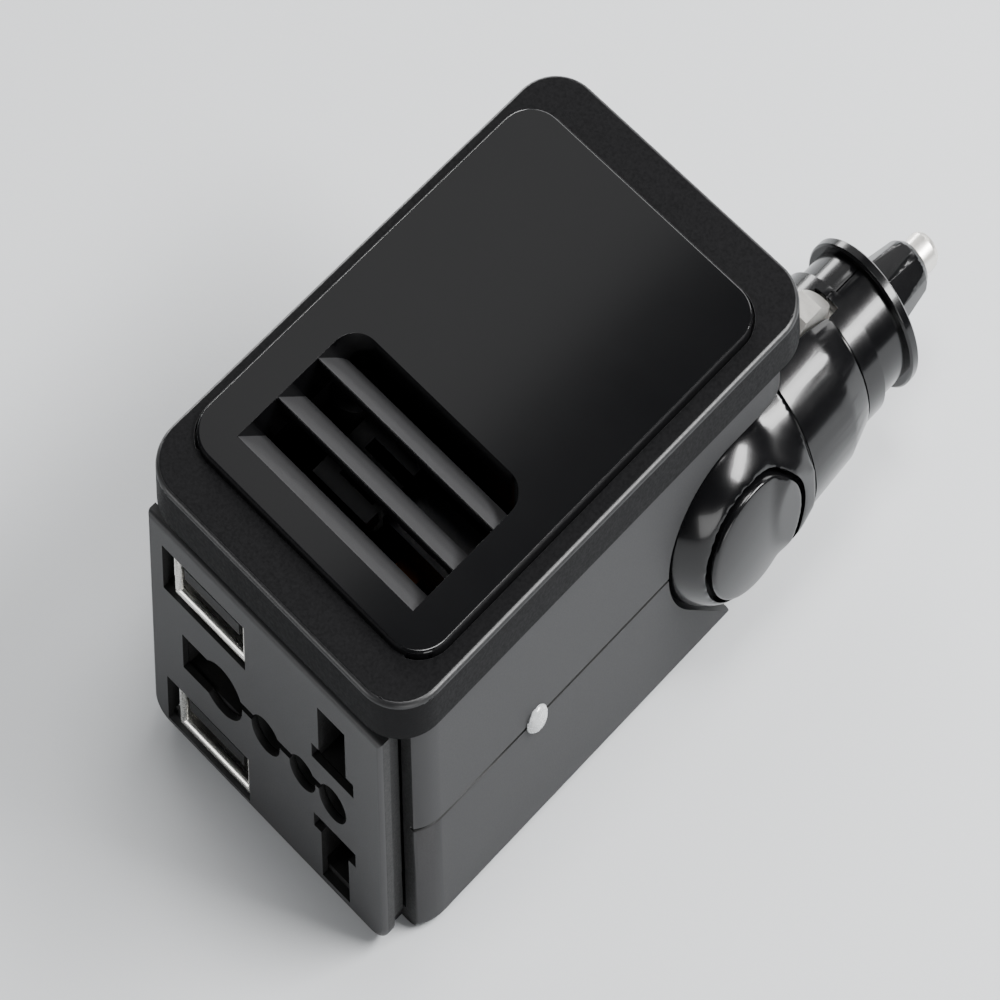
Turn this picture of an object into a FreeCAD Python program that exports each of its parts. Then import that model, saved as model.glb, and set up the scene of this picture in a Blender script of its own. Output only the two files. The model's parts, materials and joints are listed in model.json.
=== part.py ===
# Car power inverter with a folding 12 V plug, as separate pieces in millimetres.
# X runs to the right seen from the socket end, Y to the rear towards the plug, Z up.
# The origin is on the base, in the middle of the lid's width and length.
import FreeCAD, Part
import math
import os
import re
import Sketcher

# Driving dimensions
SIZES = {
    # Housing
    "CaseWidth": 49.6,
    "CaseRear": 39.75,
    "CaseFront": 39.5,
    "CaseHeight": 39.0,
    "SplitHeight": 18.2,
    "Wall": 2.0,
    "CaseCorner": 6.5,
    "WindowInset": 1.5,
    "BaseRound": 1.2,
    "Fit": 0.15,
    # Lid
    "CoverOverhang": 1.9,
    "CoverLength": 85.0,
    "CoverHeight": 6.1,
    "CoverRoof": 2.2,
    "CoverCorner": 7.2,
    "CoverRound": 0.8,
    "HookWidth": 8.0,
    "HookThick": 1.2,
    "HookDepth": 4.5,
    "HookPlace": 20.0,
    "LatchDepth": 0.5,
    "LatchHeight": 1.5,
    # Glossy vent panel
    "VentMarginLeft": 2.15,
    "VentMarginRight": 3.3,
    "VentEnd": 35.2,
    "VentCorner": 5.5,
    "VentRise": 0.9,
    "VentSeat": 1.0,
    "VentGap": 0.3,
    "VentRound": 0.4,
    "OpeningMarginLeft": 6.4,
    "OpeningMarginRight": 6.3,
    "OpeningFront": 30.2,
    "OpeningRear": 7.0,
    "OpeningCorner": 4.0,
    "WellWall": 1.2,
    "BladeRun": 5.4,
    "BladeDrop": 4.9,
    "BladeThick": 1.6,
    "BladePitch": 7.9,
    # Socket panel
    "PanelInsetLeft": 0.1,
    "PanelInsetRight": 2.45,
    "PanelLow": 0.4,
    "PanelGap": 0.9,
    "PanelFace": 42.0,
    "PanelThick": 1.8,
    "PanelSkin": 1.0,
    "PanelRelief": 0.4,
    "PanelCorner": 3.0,
    "PanelRound": 0.8,
    "ShadowInset": 0.9,
    "RimDepth": 2.0,
    "RimThick": 1.6,
    "RimTabWidth": 7.0,
    "RimTabPlace": 1.0,
    # Universal socket
    "SocketHeight": 17.4,
    "PinLine": 12.5,
    "PinSlotWidth": 5.4,
    "PinSlotNear": 5.2,
    "PinSlotFar": 15.5,
    "FlatSlotWidth": 8.3,
    "FlatSlotFar": 7.6,
    "EarthPlace": 10.0,
    "EarthLength": 8.0,
    "EarthHeight": 6.1,
    "EarthRadius": 4.14,
    "GroundPlace": 1.1,
    "GroundRadius": 2.86,
    "MiddlePlace": 6.3,
    "MiddleRadius": 2.6,
    "InnerPlace": 12.3,
    "InnerRadius": 2.7,
    "LinkHeight": 1.2,
    "LinkRise": 0.9,
    "BlockDepth": 20.0,
    "BlockWall": 1.6,
    "PinRoom": 6.8,
    "PinRoomFar": 14.4,
    "RoundHoleDepth": 15.0,
    "StripThick": 0.6,
    "StripWidth": 8.0,
    "StripGap": 4.9,
    "StripPinch": 2.2,
    "StripReach": 14.0,
    "TailReach": 1.2,
    "TailWidth": 2.4,
    # USB sockets
    "UsbInset": 9.55,
    "UsbSpread": 12.2,
    "UsbHeight": 17.6,
    "UsbOpeningWidth": 16.7,
    "UsbOpeningHeight": 7.8,
    "UsbOpeningCorner": 0.8,
    "UsbShift": 0.8,
    "UsbWidth": 13.1,
    "UsbTall": 5.7,
    "UsbSheet": 0.3,
    "UsbRecess": 0.5,
    "UsbDepth": 14.0,
    "TongueWidth": 11.1,
    "TongueThick": 1.84,
    "TongueDrop": 0.7,
    "TongueRecess": 0.4,
    "TongueDepth": 8.8,
    "FingerWidth": 2.0,
    "FingerStart": 1.4,
    "FingerLength": 5.0,
    "FingerPlace": 3.1,
    "UsbBoardThick": 1.6,
    "UsbBoardAbove": 4.2,
    "UsbBoardSide": 0.4,
    "UsbBoardClear": 0.9,
    "RailInset": 3.0,
    "RailThick": 1.2,
    "RailHeight": 4.0,
    # Light
    "LedPlace": 14.4,
    "LedRadius": 1.5,
    "LedRise": 0.9,
    "LedFlangeRadius": 2.0,
    "LedFlangeThick": 1.0,
    "LedBody": 3.6,
    "LegThick": 0.5,
    "LegPitch": 2.54,
    "LegInset": 1.2,
    # Main board and what it carries
    "BoardLow": 4.0,
    "BoardThick": 1.6,
    "BoardInset": 6.6,
    "BoardFront": 19.5,
    "BoardMiddle": 9.5,
    "BoardRear": 29.6,
    "BoardNotchGap": 2.5,
    "StandoffRadius": 2.4,
    "BoardScrewLeft": 8.7,
    "BoardScrewRight": 4.2,
    "BoardScrewFront": 3.2,
    "BoardScrewInner": 3.0,
    "BoardScrewMiddle": 6.0,
    "BoardScrewRear": 2.6,
    "BoardScrewEnd": 2.4,
    "BoardScrewRadius": 0.9,
    "BoardScrewHead": 1.7,
    "BoardScrewHeadTall": 1.2,
    "BoardScrewLength": 3.0,
    "CoreForward": 8.4,
    "CoreMargin": 8.4,
    "CoreDeep": 8.0,
    "CoreTall": 18.0,
    "CoreLeg": 3.2,
    "WindingMargin": 8.0,
    "WindingDeep": 18.0,
    "WindingTall": 10.6,
    "WindingCorner": 3.0,
    "SinkThick": 2.0,
    "SinkFront": 18.0,
    "SinkRear": 24.0,
    "SinkTop": 30.0,
    "SinkFlange": 11.0,
    "SinkSlotWidth": 2.0,
    "SinkSlotPitch": 5.0,
    "TransistorThick": 4.4,
    "TransistorWidth": 10.0,
    "TransistorTall": 9.0,
    "TransistorTabTall": 15.6,
    "TransistorTabThick": 1.3,
    "TransistorLift": 4.0,
    "TransistorPitch": 10.6,
    "TransistorFirst": 12.5,
    "TransistorLeg": 0.8,
    "TransistorLegPitch": 2.54,
    "FilterRadius": 4.7,
    "FilterTall": 20.0,
    "FilterAlong": 22.2,
    "InputRadius": 4.0,
    "InputTall": 12.0,
    "InputAlong": 5.0,
    "ChokeRadius": 4.6,
    "ChokeTube": 2.3,
    "ChokeSink": 0.3,
    "ChokeAlong": 9.6,
    "ChokeShare": 0.13,
    "InputShare": 0.48,
    "EdgeShare": 0.04,
    # Screws of the housing
    "PostRadius": 3.4,
    "PostInset": 3.1,
    "PostFront": 6.0,
    "PostRear": 34.6,
    "PostInner": 8.2,
    "PostDrop": 8.0,
    "ScrewRadius": 1.3,
    "ScrewClear": 0.15,
    "ScrewHeadRadius": 2.3,
    "ScrewHeadTall": 1.8,
    "ScrewRecess": 1.4,
    "ScrewLength": 26.0,
    # Folding plug: place and hub
    "PlugInset": 6.6,
    "PivotPlace": 25.4,
    "FoldAngle": 45.0,
    "HubRadius": 12.6,
    "HubClear": 0.4,
    "NotchDeep": 19.8,
    "HubGap": 0.6,
    "HubEdge": 1.0,
    "DomeRadius": 17.0,
    "DomeRise": 12.1,
    "CapRadius": 8.7,
    "CapGap": 0.5,
    "CapSeatReach": 8.0,
    "CapProud": 0.15,
    "CapStem": 2.0,
    "CapStemDepth": 4.0,
    "HubRoom": 9.6,
    "HubSkin": 2.2,
    "PlugScrewSpread": 6.2,
    "PlugScrewBoss": 2.6,
    "PlugScrewRadius": 1.0,
    "PlugScrewHead": 1.8,
    "PlugScrewHeadTall": 1.4,
    "PlugScrewLength": 12.0,
    # Trunnion that carries the plug in the notch wall
    "TrunnionRadius": 5.0,
    "TrunnionBore": 3.0,
    "TrunnionClear": 0.08,
    "TrunnionReach": 4.8,
    "BearingRadius": 8.0,
    "BearingReach": 1.2,
    "ClipThick": 0.8,
    "ClipDepth": 0.7,
    "ClipRadius": 6.8,
    "ClipPlay": 0.1,
    "ClipMouth": 5.0,
    "WasherRadius": 9.0,
    "WasherThick": 0.5,
    # Folding plug: sleeve, all along Y from the housing's origin
    "SleeveStart": 22.0,
    "SleeveRound": 9.0,
    "SleeveRadius": 12.4,
    "SeamPlace": 37.0,
    "SeamWidth": 0.3,
    "SeamDepth": 0.3,
    "TaperEnd": 46.2,
    "TaperRadius": 11.8,
    "ShoulderEnd": 50.6,
    "ShoulderRadius": 10.3,
    "GrooveWidth": 0.4,
    "GrooveDepth": 0.5,
    "CollarRadius": 10.1,
    "CollarEnd": 54.4,
    "NeckRadius": 9.2,
    "NeckEnd": 59.8,
    "FuseBore": 3.7,
    "SpringWall": 1.6,
    "SpringSeat": 30.0,
    "WireHole": 1.2,
    # Nose cap, tip and fuse
    "FlangeRadius": 10.4,
    "FlangeEnd": 61.5,
    "FlangeRound": 0.3,
    "SpigotRadius": 6.0,
    "SpigotLength": 4.8,
    "SpigotClear": 0.1,
    "NoseBase": 5.3,
    "NoseTop": 3.9,
    "NoseTopPlace": 70.3,
    "NoseEnd": 71.4,
    "NoseEndRadius": 3.1,
    "NoseFacet": 0.94,
    "NoseBore": 3.6,
    "NoseWall": 2.9,
    "TipRadius": 2.6,
    "TipClear": 0.1,
    "TipEnd": 75.2,
    "TipRound": 1.3,
    "TipCollar": 3.2,
    "TipCollarLength": 1.9,
    "TipTravel": 2.5,
    "FuseLength": 30.0,
    "FuseCapRadius": 3.2,
    "FuseCapLength": 6.2,
    "FuseCapWall": 0.3,
    "FuseTubeWall": 0.7,
    "FuseWire": 0.3,
    "SpringWire": 0.6,
    "SpringRadius": 2.5,
    "SpringPitch": 1.1,
    "SpringTurns": 2.6,
    # Side contacts
    "ContactWidth": 4.0,
    "ContactSide": 0.2,
    "ContactStart": 44.2,
    "ContactEnd": 52.4,
    "ContactEndGap": 0.5,
    "ContactSeat": 8.0,
    "ContactFoot": 1.2,
    "ContactFootSide": 3.0,
    "ContactFootReach": 1.1,
    "ContactRear": 11.5,
    "ContactCrown": 12.7,
    "ContactCrownStart": 46.4,
    "ContactCrownEnd": 49.6,
    "ContactFront": 10.1,
    "ContactTravel": 1.2,
    "ContactClear": 0.06,
}

doc = FreeCAD.newDocument("CarPowerInverter")
sheet = doc.addObject("Spreadsheet::Sheet", "Sizes")
for row, (alias, value) in enumerate(SIZES.items(), start=1):
    sheet.set(f"A{row}", alias)
    sheet.set(f"B{row}", str(value))
    sheet.setAlias(f"B{row}", alias)
doc.recompute()

WORD = re.compile(r"[A-Za-z_]\w*")
AXES = {"x": FreeCAD.Vector(1, 0, 0), "y": FreeCAD.Vector(0, 1, 0), "z": FreeCAD.Vector(0, 0, 1)}
ALONG = {
    "x": FreeCAD.Rotation(FreeCAD.Vector(0, 1, 0), 90),
    "y": FreeCAD.Rotation(FreeCAD.Vector(1, 0, 0), -90),
    "z": FreeCAD.Rotation(),
}
START_CIRCLE = 10.0
CUT_PAST = 3.0

# Places worked out from the driving dimensions
CASE_SIDE = "(CaseWidth / 2)"
INNER_SIDE = "(CaseWidth / 2 - Wall)"
COVER_SIDE = "(CaseWidth / 2 + CoverOverhang)"
PANEL_LEFT = "(-CaseWidth / 2 + PanelInsetLeft)"
PANEL_RIGHT = "(CaseWidth / 2 - PanelInsetRight)"
WINDOW_SIDE = "(CaseWidth / 2 - Wall - WindowInset)"
PANEL_HIGH = "(CaseHeight - PanelGap)"
POST_SIDE = f"({INNER_SIDE} - PostInset)"
POST_TOP = "(CaseHeight - PostDrop)"
NOTCH_WALL = "(CaseWidth / 2 - NotchDeep)"
PLUG_ACROSS = "(CaseWidth / 2 - PlugInset)"
CAP_SEAT = f"({PLUG_ACROSS} + CapSeatReach)"
BOARD_SIDE = f"({INNER_SIDE} - BoardInset)"
BOARD_RIGHT = f"({NOTCH_WALL} - BoardNotchGap)"
CORE_WIDTH = f"(2 * {BOARD_SIDE} - CoreMargin)"
CORE_PLACE = f"({BOARD_SIDE} - {CORE_WIDTH} / 2)"
FILTER_ACROSS = f"((-{BOARD_SIDE} + SinkThick + {NOTCH_WALL} - TrunnionReach) / 2)"
ROW_SLACK = f"(2 * {BOARD_SIDE} - SinkThick - TransistorThick - 2 * ChokeTube - 4 * InputRadius)"
CHOKE_ACROSS = f"(-{BOARD_SIDE} + SinkThick + TransistorThick + ChokeTube + ChokeShare * {ROW_SLACK})"
INPUT_ACROSS = f"({BOARD_SIDE} - InputRadius - EdgeShare * {ROW_SLACK})"
INPUT_PITCH = f"(2 * InputRadius + InputShare * {ROW_SLACK})"
COVER_TOP = "(CaseHeight + CoverHeight)"
PANEL_TOP = f"({COVER_TOP} + VentRise)"
PANEL_SEAT = f"({COVER_TOP} - VentSeat)"
PLATE_BACK = "(-PanelFace + PanelThick)"
PANEL_BACK = "(-CaseFront)"
BOARD_TOP = "(BoardLow + BoardThick)"
PIVOT = ("PivotPlace", "SplitHeight")
NOTCH_ROOM = "(HubRadius + HubClear)"
HUB_LEFT = f"({NOTCH_WALL} + HubGap)"
TRUNNION_END = f"({NOTCH_WALL} - TrunnionReach)"
DOME_CENTRE = f"({PLUG_ACROSS} + DomeRise - DomeRadius)"
CLIP_RIGHT = f"({NOTCH_WALL} - Wall - BearingReach - ClipPlay)"
NOSE_HOLE = "(NoseEnd - NoseWall)"
TIP_COLLAR_FRONT = "(NoseEnd - NoseWall - 0.05)"
TIP_COLLAR_BACK = f"({TIP_COLLAR_FRONT} - TipCollarLength)"
FUSE_BACK = f"({TIP_COLLAR_BACK} - FuseLength)"

nodes = {}


def on_sheet(formula):
    """The formula with each size read from the sheet."""
    return WORD.sub(lambda word: f"Sizes.{word[0]}" if word[0] in SIZES else word[0], str(formula))


def bind(thing, prop, formula):
    """Ties one property to a formula of the sheet's sizes."""
    thing.setExpression(prop, on_sheet(formula))


def node(label, thing):
    """Names a finished piece."""
    thing.Label = label
    nodes[label] = thing
    return thing


def box(name, x, y, z):
    """Block between two formulas along each axis."""
    block = doc.addObject("Part::Box", name)
    for side, axis, (low, high) in zip(("Length", "Width", "Height"), "xyz", (x, y, z)):
        bind(block, side, f"({high}) - ({low})")
        bind(block, f"Placement.Base.{axis}", low)
    return block


def lay_along(thing, axis, centre, low):
    """Turns a round primitive along an axis and puts its start there."""
    thing.Placement = FreeCAD.Placement(FreeCAD.Vector(), ALONG[axis])
    places = dict(zip([other for other in "xyz" if other != axis], centre))
    places[axis] = low
    for name, place in places.items():
        bind(thing, f"Placement.Base.{name}", place)


def rod(name, axis, centre, radius, low, high):
    """Cylinder along an axis; centre holds the other two coordinates."""
    cylinder = doc.addObject("Part::Cylinder", name)
    bind(cylinder, "Radius", radius)
    bind(cylinder, "Height", f"({high}) - ({low})")
    lay_along(cylinder, axis, centre, low)
    return cylinder


def taper(name, axis, centre, radii, low, high):
    """Cone along an axis between two radii."""
    cone = doc.addObject("Part::Cone", name)
    bind(cone, "Radius1", radii[0])
    bind(cone, "Radius2", radii[1])
    bind(cone, "Height", f"({high}) - ({low})")
    lay_along(cone, axis, centre, low)
    return cone


def fuse(name, *pieces):
    """Union of several shapes."""
    joined = doc.addObject("Part::MultiFuse", name)
    joined.Shapes = list(pieces)
    joined.Refine = True
    return joined


def cut(name, base, *tools):
    """Base with the tools taken away."""
    result = doc.addObject("Part::Cut", name)
    result.Base = base
    result.Tool = tools[0] if len(tools) == 1 else fuse(f"{name}Tools", *tools)
    result.Refine = True
    return result


def common(name, *pieces):
    """What the shapes share."""
    shared = doc.addObject("Part::MultiCommon", name)
    shared.Shapes = list(pieces)
    shared.Refine = True
    return shared


def new_body(name, place=(0, 0, 0)):
    """Body whose origin is moved to three formulas."""
    body = doc.addObject("PartDesign::Body", name)
    for axis, formula in zip("xyz", place):
        if formula:
            bind(body, f"Placement.Base.{axis}", formula)
    return body


def origin_item(body, role):
    """One plane or axis of a body's origin."""
    return next(item for item in body.Origin.OriginFeatures if item.Role == role)


def hold(drawing, kind, index, formula, start):
    """Holds a corner at a distance from the sketch's origin."""
    if str(formula) == "0":
        axis = -2 if kind == "DistanceX" else -1
        drawing.addConstraint(Sketcher.Constraint("PointOnObject", index, 1, axis))
        return
    number = drawing.addConstraint(Sketcher.Constraint(kind, -1, 1, index, 1, start))
    bind(drawing, f"Constraints[{number}]", formula)


def outline(body, name, plane, offset, corners):
    """Closed sketch through corners given as pairs of formulas."""
    drawing = body.newObject("Sketcher::SketchObject", name)
    drawing.AttachmentSupport = [(origin_item(body, f"{plane}_Plane"), "")]
    drawing.MapMode = "FlatFace"
    if offset:
        bind(drawing, "AttachmentOffset.Base.z", offset)
    count = len(corners)
    turns = [2 * math.pi * index / count for index in range(count)]
    starts = [FreeCAD.Vector(START_CIRCLE * math.cos(a), START_CIRCLE * math.sin(a) + 0.1, 0) for a in turns]
    for index in range(count):
        drawing.addGeometry(Part.LineSegment(starts[index], starts[(index + 1) % count]), False)
    for index in range(count):
        drawing.addConstraint(Sketcher.Constraint("Coincident", index, 2, (index + 1) % count, 1))
    for index, (across, up) in enumerate(corners):
        hold(drawing, "DistanceX", index, across, starts[index].x)
        hold(drawing, "DistanceY", index, up, starts[index].y)
    return drawing


def pad(body, drawing, length, back=False):
    """Pads a sketch along its plane's normal, or back along it."""
    feature = body.newObject("PartDesign::Pad", f"{drawing.Name}Pad")
    feature.Profile = drawing
    feature.Reversed = back
    bind(feature, "Length", length)
    return feature


def turned(name, place, axis, corners):
    """Round piece turned about an axis of its body; corners are (along, radius)."""
    body = new_body(name, place)
    pairs = corners if axis == "X" else [(radius, along) for along, radius in corners]
    drawing = outline(body, f"{name}Profile", "XZ" if axis == "Z" else "XY", None, pairs)
    feature = body.newObject("PartDesign::Revolution", f"{name}Turn")
    feature.Profile = drawing
    feature.ReferenceAxis = (origin_item(body, f"{axis}_Axis"), [""])
    feature.Angle = 360
    return body


def prism(name, plane, corners, low, high):
    """Profile swept straight from low to high across its plane."""
    body = new_body(name)
    flip = plane == "XZ"
    drawing = outline(body, f"{name}Profile", plane, f"-({low})" if flip else low, corners)
    pad(body, drawing, f"({high}) - ({low})", back=flip)
    return body


def edges_where(shape, test):
    """Names of the edges that pass a test."""
    return [f"Edge{number}" for number, edge in enumerate(shape.Edges, start=1) if test(edge)]


def is_upright(edge):
    """True for a straight edge along Z."""
    low, high = edge.Vertexes[0].Point, edge.Vertexes[-1].Point
    return abs(low.x - high.x) + abs(low.y - high.y) < 1e-6 and abs(low.z - high.z) > 1e-6


def round_edges(body, radius, test):
    """Rounds the edges of a body's last feature that pass a test."""
    doc.recompute()
    last = body.Tip
    feature = body.newObject("PartDesign::Fillet", f"{body.Name}Round{len(body.Group)}")
    feature.Base = (last, edges_where(last.Shape, test))
    bind(feature, "Radius", radius)
    return feature


def slab(name, x, y, z, corner=None, corner_test=is_upright, rim=None, rim_low=False):
    """Rectangular plate with rounded corners and a rounded top or bottom rim."""
    corners = [(x[0], y[0]), (x[1], y[0]), (x[1], y[1]), (x[0], y[1])]
    body = prism(name, "XY", corners, z[0], z[1])
    if corner:
        round_edges(body, corner, lambda edge: is_upright(edge) and corner_test(edge))
    if rim:
        doc.recompute()
        bounds = body.Tip.Shape.BoundBox
        level = bounds.ZMin if rim_low else bounds.ZMax
        round_edges(body, rim, lambda edge: max(abs(v.Z - level) for v in edge.Vertexes) < 1e-6)
    return body


# Housing shells around the plug's notch


def notch_form(name, grow, inner):
    """Space that the plug sweeps as it folds, grown by a wall and cut from an inner plane outwards."""
    room = f"({NOTCH_ROOM} + {grow})"
    across, up = PIVOT
    below = f"(-{CUT_PAST})"
    behind = f"(CaseRear + {CUT_PAST})"
    touch = (f"{across} - {room} * sin(FoldAngle)", f"{up} - {room} * cos(FoldAngle)")
    run = f"(({touch[1]}) - {below}) / tan(FoldAngle)"
    corners = [
        (across, f"{up} + {room}"),
        (behind, f"{up} + {room}"),
        (behind, below),
        (f"{touch[0]} + {run}", below),
        touch,
        (across, up),
    ]
    outside = f"({CASE_SIDE} + {CUT_PAST})"
    sweep = prism(f"{name}Sweep", "YZ", corners, inner, outside)
    turn = rod(f"{name}Turn", "x", PIVOT, room, inner, outside)
    return fuse(name, sweep, turn)


def bearing(name):
    """Boss round the trunnion on the inside of the notch wall."""
    return rod(name, "x", PIVOT, "BearingRadius", f"{NOTCH_WALL} - Wall - BearingReach", f"{NOTCH_WALL} - Wall / 2")


POSTS = {
    "Left": (f"-{POST_SIDE}", "-PostFront"),
    "Right": (POST_SIDE, "-PostFront"),
    "RearLeft": (f"-{POST_SIDE}", "PostRear"),
    "RearInner": (f"{NOTCH_WALL} - PostInner", "PostRear"),
}
SCREW_HEAD_TOP = "(ScrewRecess + ScrewHeadTall)"


def posts(name, low, high, radius):
    """One round post or hole at each case screw."""
    return [rod(f"{name}{key}", "z", place, radius, low, high) for key, place in POSTS.items()]


def shell_cuts(name):
    """Notch, trunnion hole and light hole that both shells share."""
    return [
        notch_form(f"{name}Notch", "0", NOTCH_WALL),
        rod(f"{name}Bore", "x", PIVOT, "TrunnionRadius + TrunnionClear", "0", f"{NOTCH_WALL} + 1"),
        rod(f"{name}Light", "x", ("-LedPlace", "SplitHeight"), "LedRadius + 0.05", INNER_SIDE + " - 1", CASE_SIDE + " + 1"),
    ]


def hollow(name, low, high):
    """Inside of the housing, kept off the notch by one wall."""
    room = slab(
        f"{name}Room",
        (f"-{INNER_SIDE}", INNER_SIDE),
        ("-CaseFront + Wall", "CaseRear - Wall"),
        (low, high),
        corner="CaseCorner - Wall",
    )
    window = box(f"{name}Window", (f"-{WINDOW_SIDE}", WINDOW_SIDE), (f"-CaseFront - {CUT_PAST}", "0"), (low, high))
    return cut(name, fuse(f"{name}Space", room, window), notch_form(f"{name}Walled", "Wall", f"{NOTCH_WALL} - Wall"))


STANDOFFS = {
    "FrontLeft": (f"-{BOARD_SIDE} + BoardScrewLeft", "-BoardFront + BoardScrewFront"),
    "FrontRight": (f"{BOARD_SIDE} - BoardScrewRight", "-BoardFront + BoardScrewFront"),
    "Middle": (f"{BOARD_RIGHT} - BoardScrewInner", "BoardMiddle + BoardScrewMiddle"),
    "Rear": (f"-{BOARD_SIDE} + BoardScrewRear", "BoardRear - BoardScrewEnd"),
}


def make_lower_shell():
    """Lower half of the housing with its floor, posts, standoffs and half of the bearing."""
    block = slab(
        "LowerBlock",
        (f"-{CASE_SIDE}", CASE_SIDE),
        ("-CaseFront", "CaseRear"),
        ("0", "SplitHeight"),
        corner="CaseCorner",
        rim="BaseRound",
        rim_low=True,
    )
    tray = cut("LowerTray", block, hollow("LowerHollow", "Wall", f"SplitHeight + {CUT_PAST}"))
    half_bearing = common("LowerBearing", bearing("LowerBoss"), box(
        "LowerBearingSide", ("-CaseWidth", "CaseWidth"), ("0", "CaseRear"), ("0", "SplitHeight")))
    studs = [
        rod(f"Standoff{key}", "z", place, "StandoffRadius", "Wall - 0.5", "BoardLow")
        for key, place in STANDOFFS.items()
    ]
    rail = box(
        "UsbRail",
        (f"{USB_BOARD_LEFT} + RailInset", f"{USB_BOARD_RIGHT} - RailInset"),
        (f"{USB_BOARD_BACK} + Fit / 2", f"{USB_BOARD_BACK} + Fit / 2 + RailThick"),
        ("Wall - 0.5", "Wall + RailHeight"),
    )
    solid = fuse("LowerSolid", tray, half_bearing, rail, *studs, *posts("LowerPost", "Wall - 0.5", "SplitHeight", "PostRadius"))
    holes = [
        rod(f"StandoffHole{key}", "z", place, "BoardScrewRadius", "BoardLow - BoardScrewLength + BoardThick", "BoardLow + 1")
        for key, place in STANDOFFS.items()
    ]
    return cut(
        "LowerShell",
        solid,
        *shell_cuts("Lower"),
        *posts("LowerHole", "-1", "SplitHeight + 1", "ScrewRadius + ScrewClear"),
        *posts("LowerSink", "-1", SCREW_HEAD_TOP, "ScrewHeadRadius + ScrewClear"),
        *holes,
    )


def hook_places():
    """Side and end of each of the lid's four hooks."""
    return [(side, end) for side in ("-", "") for end in ("-", "")]


def make_upper_shell():
    """Upper half of the housing, open at the top and the socket end."""
    block = slab(
        "UpperBlock",
        (f"-{CASE_SIDE}", CASE_SIDE),
        ("-CaseFront", "CaseRear"),
        ("SplitHeight", "CaseHeight"),
        corner="CaseCorner",
    )
    walls = cut("UpperWalls", block, hollow("UpperHollow", f"SplitHeight - {CUT_PAST}", f"CaseHeight + {CUT_PAST}"))
    half_bearing = common("UpperBearing", bearing("UpperBoss"), box(
        "UpperBearingSide", ("-CaseWidth", "CaseWidth"), ("0", "CaseRear"), ("SplitHeight", "CaseHeight")))
    solid = fuse("UpperSolid", walls, half_bearing, *posts("UpperPost", "SplitHeight", POST_TOP, "PostRadius"))
    latches = [
        box(
            f"LatchHole{number}",
            (f"{INNER_SIDE} - 1", f"{INNER_SIDE} + LatchDepth") if side == "" else (f"-{INNER_SIDE} - LatchDepth", f"-{INNER_SIDE} + 1"),
            (f"{end}HookPlace - HookWidth / 2 - Fit", f"{end}HookPlace + HookWidth / 2 + Fit"),
            ("CaseHeight - HookDepth + 0.4", "CaseHeight - HookDepth + 0.8 + LatchHeight"),
        )
        for number, (side, end) in enumerate(hook_places())
    ]
    return cut(
        "UpperShell",
        solid,
        *shell_cuts("Upper"),
        *posts("UpperHole", "SplitHeight - 1", f"{SCREW_HEAD_TOP} + ScrewLength + 0.5", "ScrewRadius + 0.02"),
        *latches,
    )


# Lid with its glossy louvred panel

VENT_X = (f"(-{COVER_SIDE} + VentMarginLeft)", f"({COVER_SIDE} - VentMarginRight)")
VENT_Y = ("-VentEnd", "VentEnd")
OPENING_X = (f"({VENT_X[0]} + OpeningMarginLeft)", f"({VENT_X[1]} - OpeningMarginRight)")
OPENING_Y = ("-OpeningFront", "-OpeningRear")


def grown(pair, amount):
    """A span made longer at both ends."""
    return (f"{pair[0]} - {amount}", f"{pair[1]} + {amount}")


def is_rear_of_opening(edge):
    """True for the louvre opening's two rear corners."""
    return edge.Vertexes[0].Y > -(SIZES["OpeningFront"] + SIZES["OpeningRear"]) / 2


def make_top_cover():
    """Overhanging lid: a shallow tray upside down, with a seat and a way through for the vent panel."""
    lid = slab(
        "Lid",
        (f"-{COVER_SIDE}", COVER_SIDE),
        ("-CoverLength / 2", "CoverLength / 2"),
        ("CaseHeight", COVER_TOP),
        corner="CoverCorner",
        rim="CoverRound",
    )
    overhang = f"({COVER_SIDE} - {INNER_SIDE})"
    inside = (f"-CoverLength / 2 + {overhang}", f"CoverLength / 2 - {overhang}")
    room = slab(
        "LidRoom",
        (f"-{INNER_SIDE}", INNER_SIDE),
        inside,
        (f"CaseHeight - {CUT_PAST}", f"{COVER_TOP} - CoverRoof"),
        corner="CaseCorner - Wall",
    )
    seat = slab(
        "LidSeat",
        grown(VENT_X, "VentGap"),
        grown(VENT_Y, "VentGap"),
        (PANEL_SEAT, f"{COVER_TOP} + {CUT_PAST}"),
        corner="VentCorner + VentGap",
    )
    way = slab(
        "LidWay",
        grown(OPENING_X, "(WellWall + VentGap)"),
        grown(OPENING_Y, "(WellWall + VentGap)"),
        ("CaseHeight", f"{COVER_TOP} + {CUT_PAST}"),
        corner="OpeningCorner + WellWall + VentGap",
        corner_test=is_rear_of_opening,
    )
    tray = cut("LidTray", lid, room, seat, way)
    hooks = []
    for number, (side, end) in enumerate(hook_places()):
        outer = f"({INNER_SIDE} - Fit)"
        near, far = f"{outer} - HookThick", outer
        tip = f"{outer} + LatchDepth"
        spans = [(near, far), (f"{far} - HookThick / 2", tip)]
        if side == "-":
            spans = [(f"-({high})", f"-({low})") for low, high in spans]
        along = (f"{end}HookPlace - HookWidth / 2", f"{end}HookPlace + HookWidth / 2")
        hooks.append(box(f"Hook{number}", spans[0], along, ("CaseHeight - HookDepth", f"{COVER_TOP} - CoverRoof + 0.5")))
        hooks.append(box(
            f"Latch{number}", spans[1], along,
            ("CaseHeight - HookDepth + 0.6", "CaseHeight - HookDepth + 0.6 + LatchHeight")))
    return fuse("TopCover", tray, *hooks)


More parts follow.
